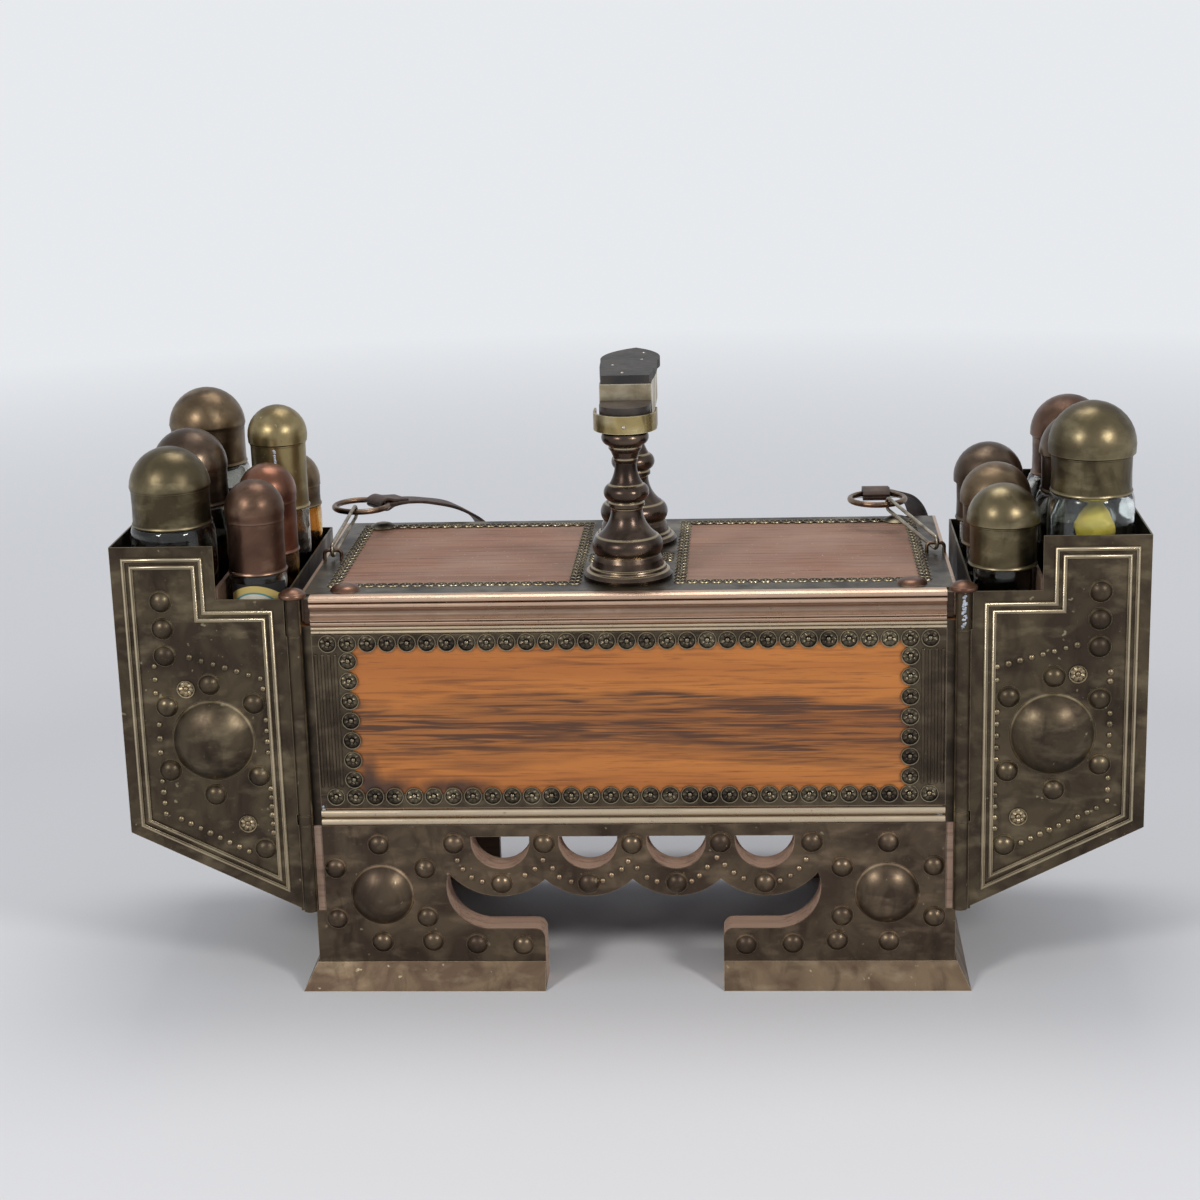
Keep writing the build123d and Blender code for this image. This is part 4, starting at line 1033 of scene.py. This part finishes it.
solder_run("solder_seam", "left_low_cap_3", "cap_brass",
           ((-291.5, 121.5, 371), (-292.5, 121.5, 422)), 56, 0.35)
solder_run("solder_on_eyelet", "chest", "aged_brass",
           ((260.0, -12.3, 302), (260.4, -12.3, 329)), 46, 1.4)
solder_run("solder_right_corner", "chest", "aged_brass",
           ((241, -0.9, 150), (247, -0.9, 143)), 8, 1.5)
solder_run("solder_left_corner", "chest", "aged_brass",
           ((-247, -0.9, 156), (-246, -0.9, 147)), 8, 1.2)


# %% [markdown]
# The carrying strap is a flat leather strap that hangs behind the box from two wire rings. It
# follows a path in space with its own twist, so it is drawn as a curve: points, a tilt at each
# point, and a flat extrusion, which is then made a mesh and given its thickness. A sleeve of
# the same leather is folded round each ring.

# %% Leather strap
def ribbon(name, points, tilts, width, thick):
    """A flat strap along a smooth path. tilts turn it about the path, in degrees."""
    curve = new_curve(name)
    curve.twist_mode = "Z_UP"
    curve.extrude = width / 2 * mm
    curve.resolution_u = 8
    path = curve.splines.new("BEZIER")
    path.bezier_points.add(len(points) - 1)
    for knot, place, tilt in zip(path.bezier_points, points, tilts):
        knot.co = place
        knot.handle_left_type = knot.handle_right_type = "AUTO"
        knot.tilt = math.radians(tilt)
    obj = curve_mesh(name, curve)
    modified(obj, "SOLIDIFY", thickness=thick * mm, offset=0.0)
    modified(obj, "BEVEL", width=0.5 * mm, segments=2)
    bpy.ops.object.shade_smooth_by_angle(angle=math.radians(40))
    return obj


left_ring, right_ring = (-238, 214, 352), (205, 214, 352)
hang = [(-222, 226, 351.8), (-206, 238, 351), (-186, 252, 347), (-160, 266, 337),
        (-140, 280, 316), (-138, 290, 270), (-140, 292, 190), (-112, 292, 112),
        (-52, 292, 74), (20, 292, 66), (100, 292, 76), (176, 292, 118), (226, 292, 190),
        (246, 291, 262), (246, 286, 312), (236, 274, 338), (220, 258, 348),
        (206, 241, 350)]
tilts = [90, 90, 90, 92, 95, 98, 95, 92, 90, 90, 90, 90, 90, 88, 84, 86, 90, 90]
strap = ribbon("carrying_strap_run", [at(*p) for p in hang], tilts, 22, 2.6)
sleeves = []
# A sleeve's loop round its ring, as distances out from the ring's middle and heights over it.
loop = [(44, -1.6), (27, -2.0), (18, -4.4), (12.5, 0), (18, 4.4), (28, 2.4), (41, 0.8)]
for (x, y, z), turn in ((left_ring, -50), (right_ring, 0)):
    along = Matrix.Rotation(math.radians(turn), 3, "Z") @ Vector((0, 1, 0))
    sleeves.append(ribbon("sleeve", [at(*(Vector((x, y, z)) + along * r
                                          + Vector((0, 0, h)))) for r, h in loop],
                          [90] * len(loop), 23, 2.4))
strap = joined("leather_strap", [strap] + sleeves)
finish_piece(strap, leather, "strap", "dark_leather", "carrying_strap")
print("strap faces:", len(strap.data.polygons))


# %% [markdown]
# The frame's own solids now get their finishes. Nodes that show on the outside take the metal
# or timber that the real piece has, and nothing about their shape changes.

# %% Finishes for the frame's nodes
node_finishes = {
    brass: ("left_rack_plate", "right_rack_plate", "left_rack_tray", "right_rack_tray",
            "wing_eyelets", "lid_hinge_lower_halves", "lid_hinge_upper_halves"),
    front_brass: ("apron_plate",),
    plinth_brass: ("plinth_strips",),
    punched_brass: ("lid_border_plates",),
    cup_brass: ("heel_cup",),
    riser_brass: ("riser_block",),
    post_bronze: ("footrest_posts",),
    pin_copper: ("left_rack_pin", "right_rack_pin"),
    sole_black: ("sole_plate",),
    pad_black: ("heel_pad",),
    hook_metal: ("strap_hooks",),
    ring_metal: ("strap_rings", "strap_staples"),
    panel_walnut: ("front_board",),
    lid_walnut: ("lid_walnut_panels",),
    edge_wood: ("apron_board",),
    plain_board: ("back_board", "floor_board", "lid_board", "left_rack_boards",
                  "right_rack_boards"),
    upright_board: ("left_end_board", "right_end_board")}
for material, names in node_finishes.items():
    for name in names:
        nodes[name].data.materials.clear()
        nodes[name].data.materials.append(material)
print("finished nodes:", sum(len(names) for names in node_finishes.values()))


# %% [markdown]
# The floor is plain and pale. Near the box it is an ordinary matt surface that takes a shadow.
# Further out, what the camera and mirrors see of it fades to an even pale tone, so the picture
# has no dark horizon, while the light that falls on the box stays the same.

# %% Floor and world
def seen_by_eye(tree):
    """1 where a ray comes from the camera, a mirror or glass."""
    path = node(tree, "ShaderNodeLightPath")
    both = maths(tree, "MAXIMUM", path.outputs["Is Camera Ray"], path.outputs["Is Glossy Ray"])
    return maths(tree, "MAXIMUM", both, path.outputs["Is Transmission Ray"])


horizon_tone = (0.80, 0.82, 0.85, 1)
fresh()
bpy.ops.mesh.primitive_plane_add(size=120)
floor = bpy.context.object
floor.name = "studio floor"
pale, tree, shader = surface("pale floor")
set_inputs(tree, shader, {"Base Color": (0.74, 0.75, 0.77, 1), "Roughness": 0.9})
far = shaped(tree, vectors(tree, "LENGTH", own_place(tree)), 0.8, 3.2)
far = maths(tree, "MULTIPLY", far, seen_by_eye(tree))
glow = node(tree, "ShaderNodeEmission", {"Color": horizon_tone})
blend = node(tree, "ShaderNodeMixShader", {0: far, 1: shader.outputs[0], 2: glow.outputs[0]})
out = next(n for n in tree.nodes if n.type == "OUTPUT_MATERIAL")
tree.links.new(blend.outputs[0], out.inputs[0])
floor.data.materials.append(pale)

world = bpy.context.scene.world or bpy.data.worlds.new("studio")
bpy.context.scene.world = world
world.use_nodes = True
tree = world.node_tree
tree.nodes.clear()
soft = node(tree, "ShaderNodeBackground", {"Color": (0.86, 0.90, 1.0, 1), "Strength": 0.42})
shown = node(tree, "ShaderNodeBackground", {"Color": horizon_tone, "Strength": 0.85})
both = node(tree, "ShaderNodeMixShader", {0: seen_by_eye(tree), 1: soft.outputs[0],
                                          2: shown.outputs[0]})
node(tree, "ShaderNodeOutputWorld", {0: both.outputs[0]})
print("floor and world ready")


# %% [markdown]
# Two soft lamps stand in front, left and right, as in the photograph, where each dome shows two
# highlights. A third, weaker one above lifts the tops.

# %% Lamps
def lamp(name, place, target, size, watts, colour=(1, 0.97, 0.93)):
    fresh()
    bpy.ops.object.light_add(type="AREA", location=place)
    obj = bpy.context.object
    obj.name = name
    obj.data.shape = "DISK"
    obj.data.size = size
    obj.data.energy = watts
    obj.data.color = colour
    obj.rotation_euler = (Vector(target) - Vector(place)).to_track_quat("-Z", "Y").to_euler()
    return obj


lamp("left lamp", (-1.5, -2.0, 1.7), (0, 0, 0.2), 0.6, 27)
lamp("right lamp", (1.7, -1.9, 1.6), (0, 0, 0.2), 0.6, 27)
lamp("top lamp", (0, 0.6, 2.4), (0, 0, 0.2), 1.2, 16)


# %% [markdown]
# The camera stands where the photographer stood: a little to the right, above the lid, looking
# down about fifteen degrees, with a slight roll. The three angles and the distance were fitted
# to the corners of the feet, mouldings and lid.

# %% Camera
yaw, pitch, roll = 0.0659, 0.2677, -0.0287
camera_place = at(101.39, -1838.83, 829.62)
focal_px, picture_px, sensor_mm = 2459.3, 1200, 36.0
turn = Matrix(((math.cos(yaw), math.sin(yaw), 0), (-math.sin(yaw), math.cos(yaw), 0),
               (0, 0, 1)))
level = Matrix(((1, 0, 0), (0, 0, -1), (0, 1, 0)))
nod = Matrix(((1, 0, 0), (0, math.cos(pitch), -math.sin(pitch)),
              (0, math.sin(pitch), math.cos(pitch))))
lean = Matrix(((math.cos(roll), -math.sin(roll), 0), (math.sin(roll), math.cos(roll), 0),
               (0, 0, 1)))
view = lean @ nod @ level @ turn
facing = Matrix((view[0], -view[1], -view[2])).transposed().to_4x4()
bpy.ops.object.camera_add()
camera = bpy.context.object
camera.matrix_world = Matrix.Translation(camera_place) @ facing
camera.data.sensor_width = sensor_mm
camera.data.lens = sensor_mm * focal_px / picture_px
bpy.context.scene.camera = camera
bpy.context.scene.view_settings.view_transform = "Standard"
print("camera at", [round(v, 3) for v in camera.location], "lens", round(camera.data.lens, 2))


# %% [markdown]
# The masters that were only copied are deleted.

# %% Finish
for master in (flower, small_flower, bead, nail, corner):
    bpy.data.objects.remove(master, do_unlink=True)
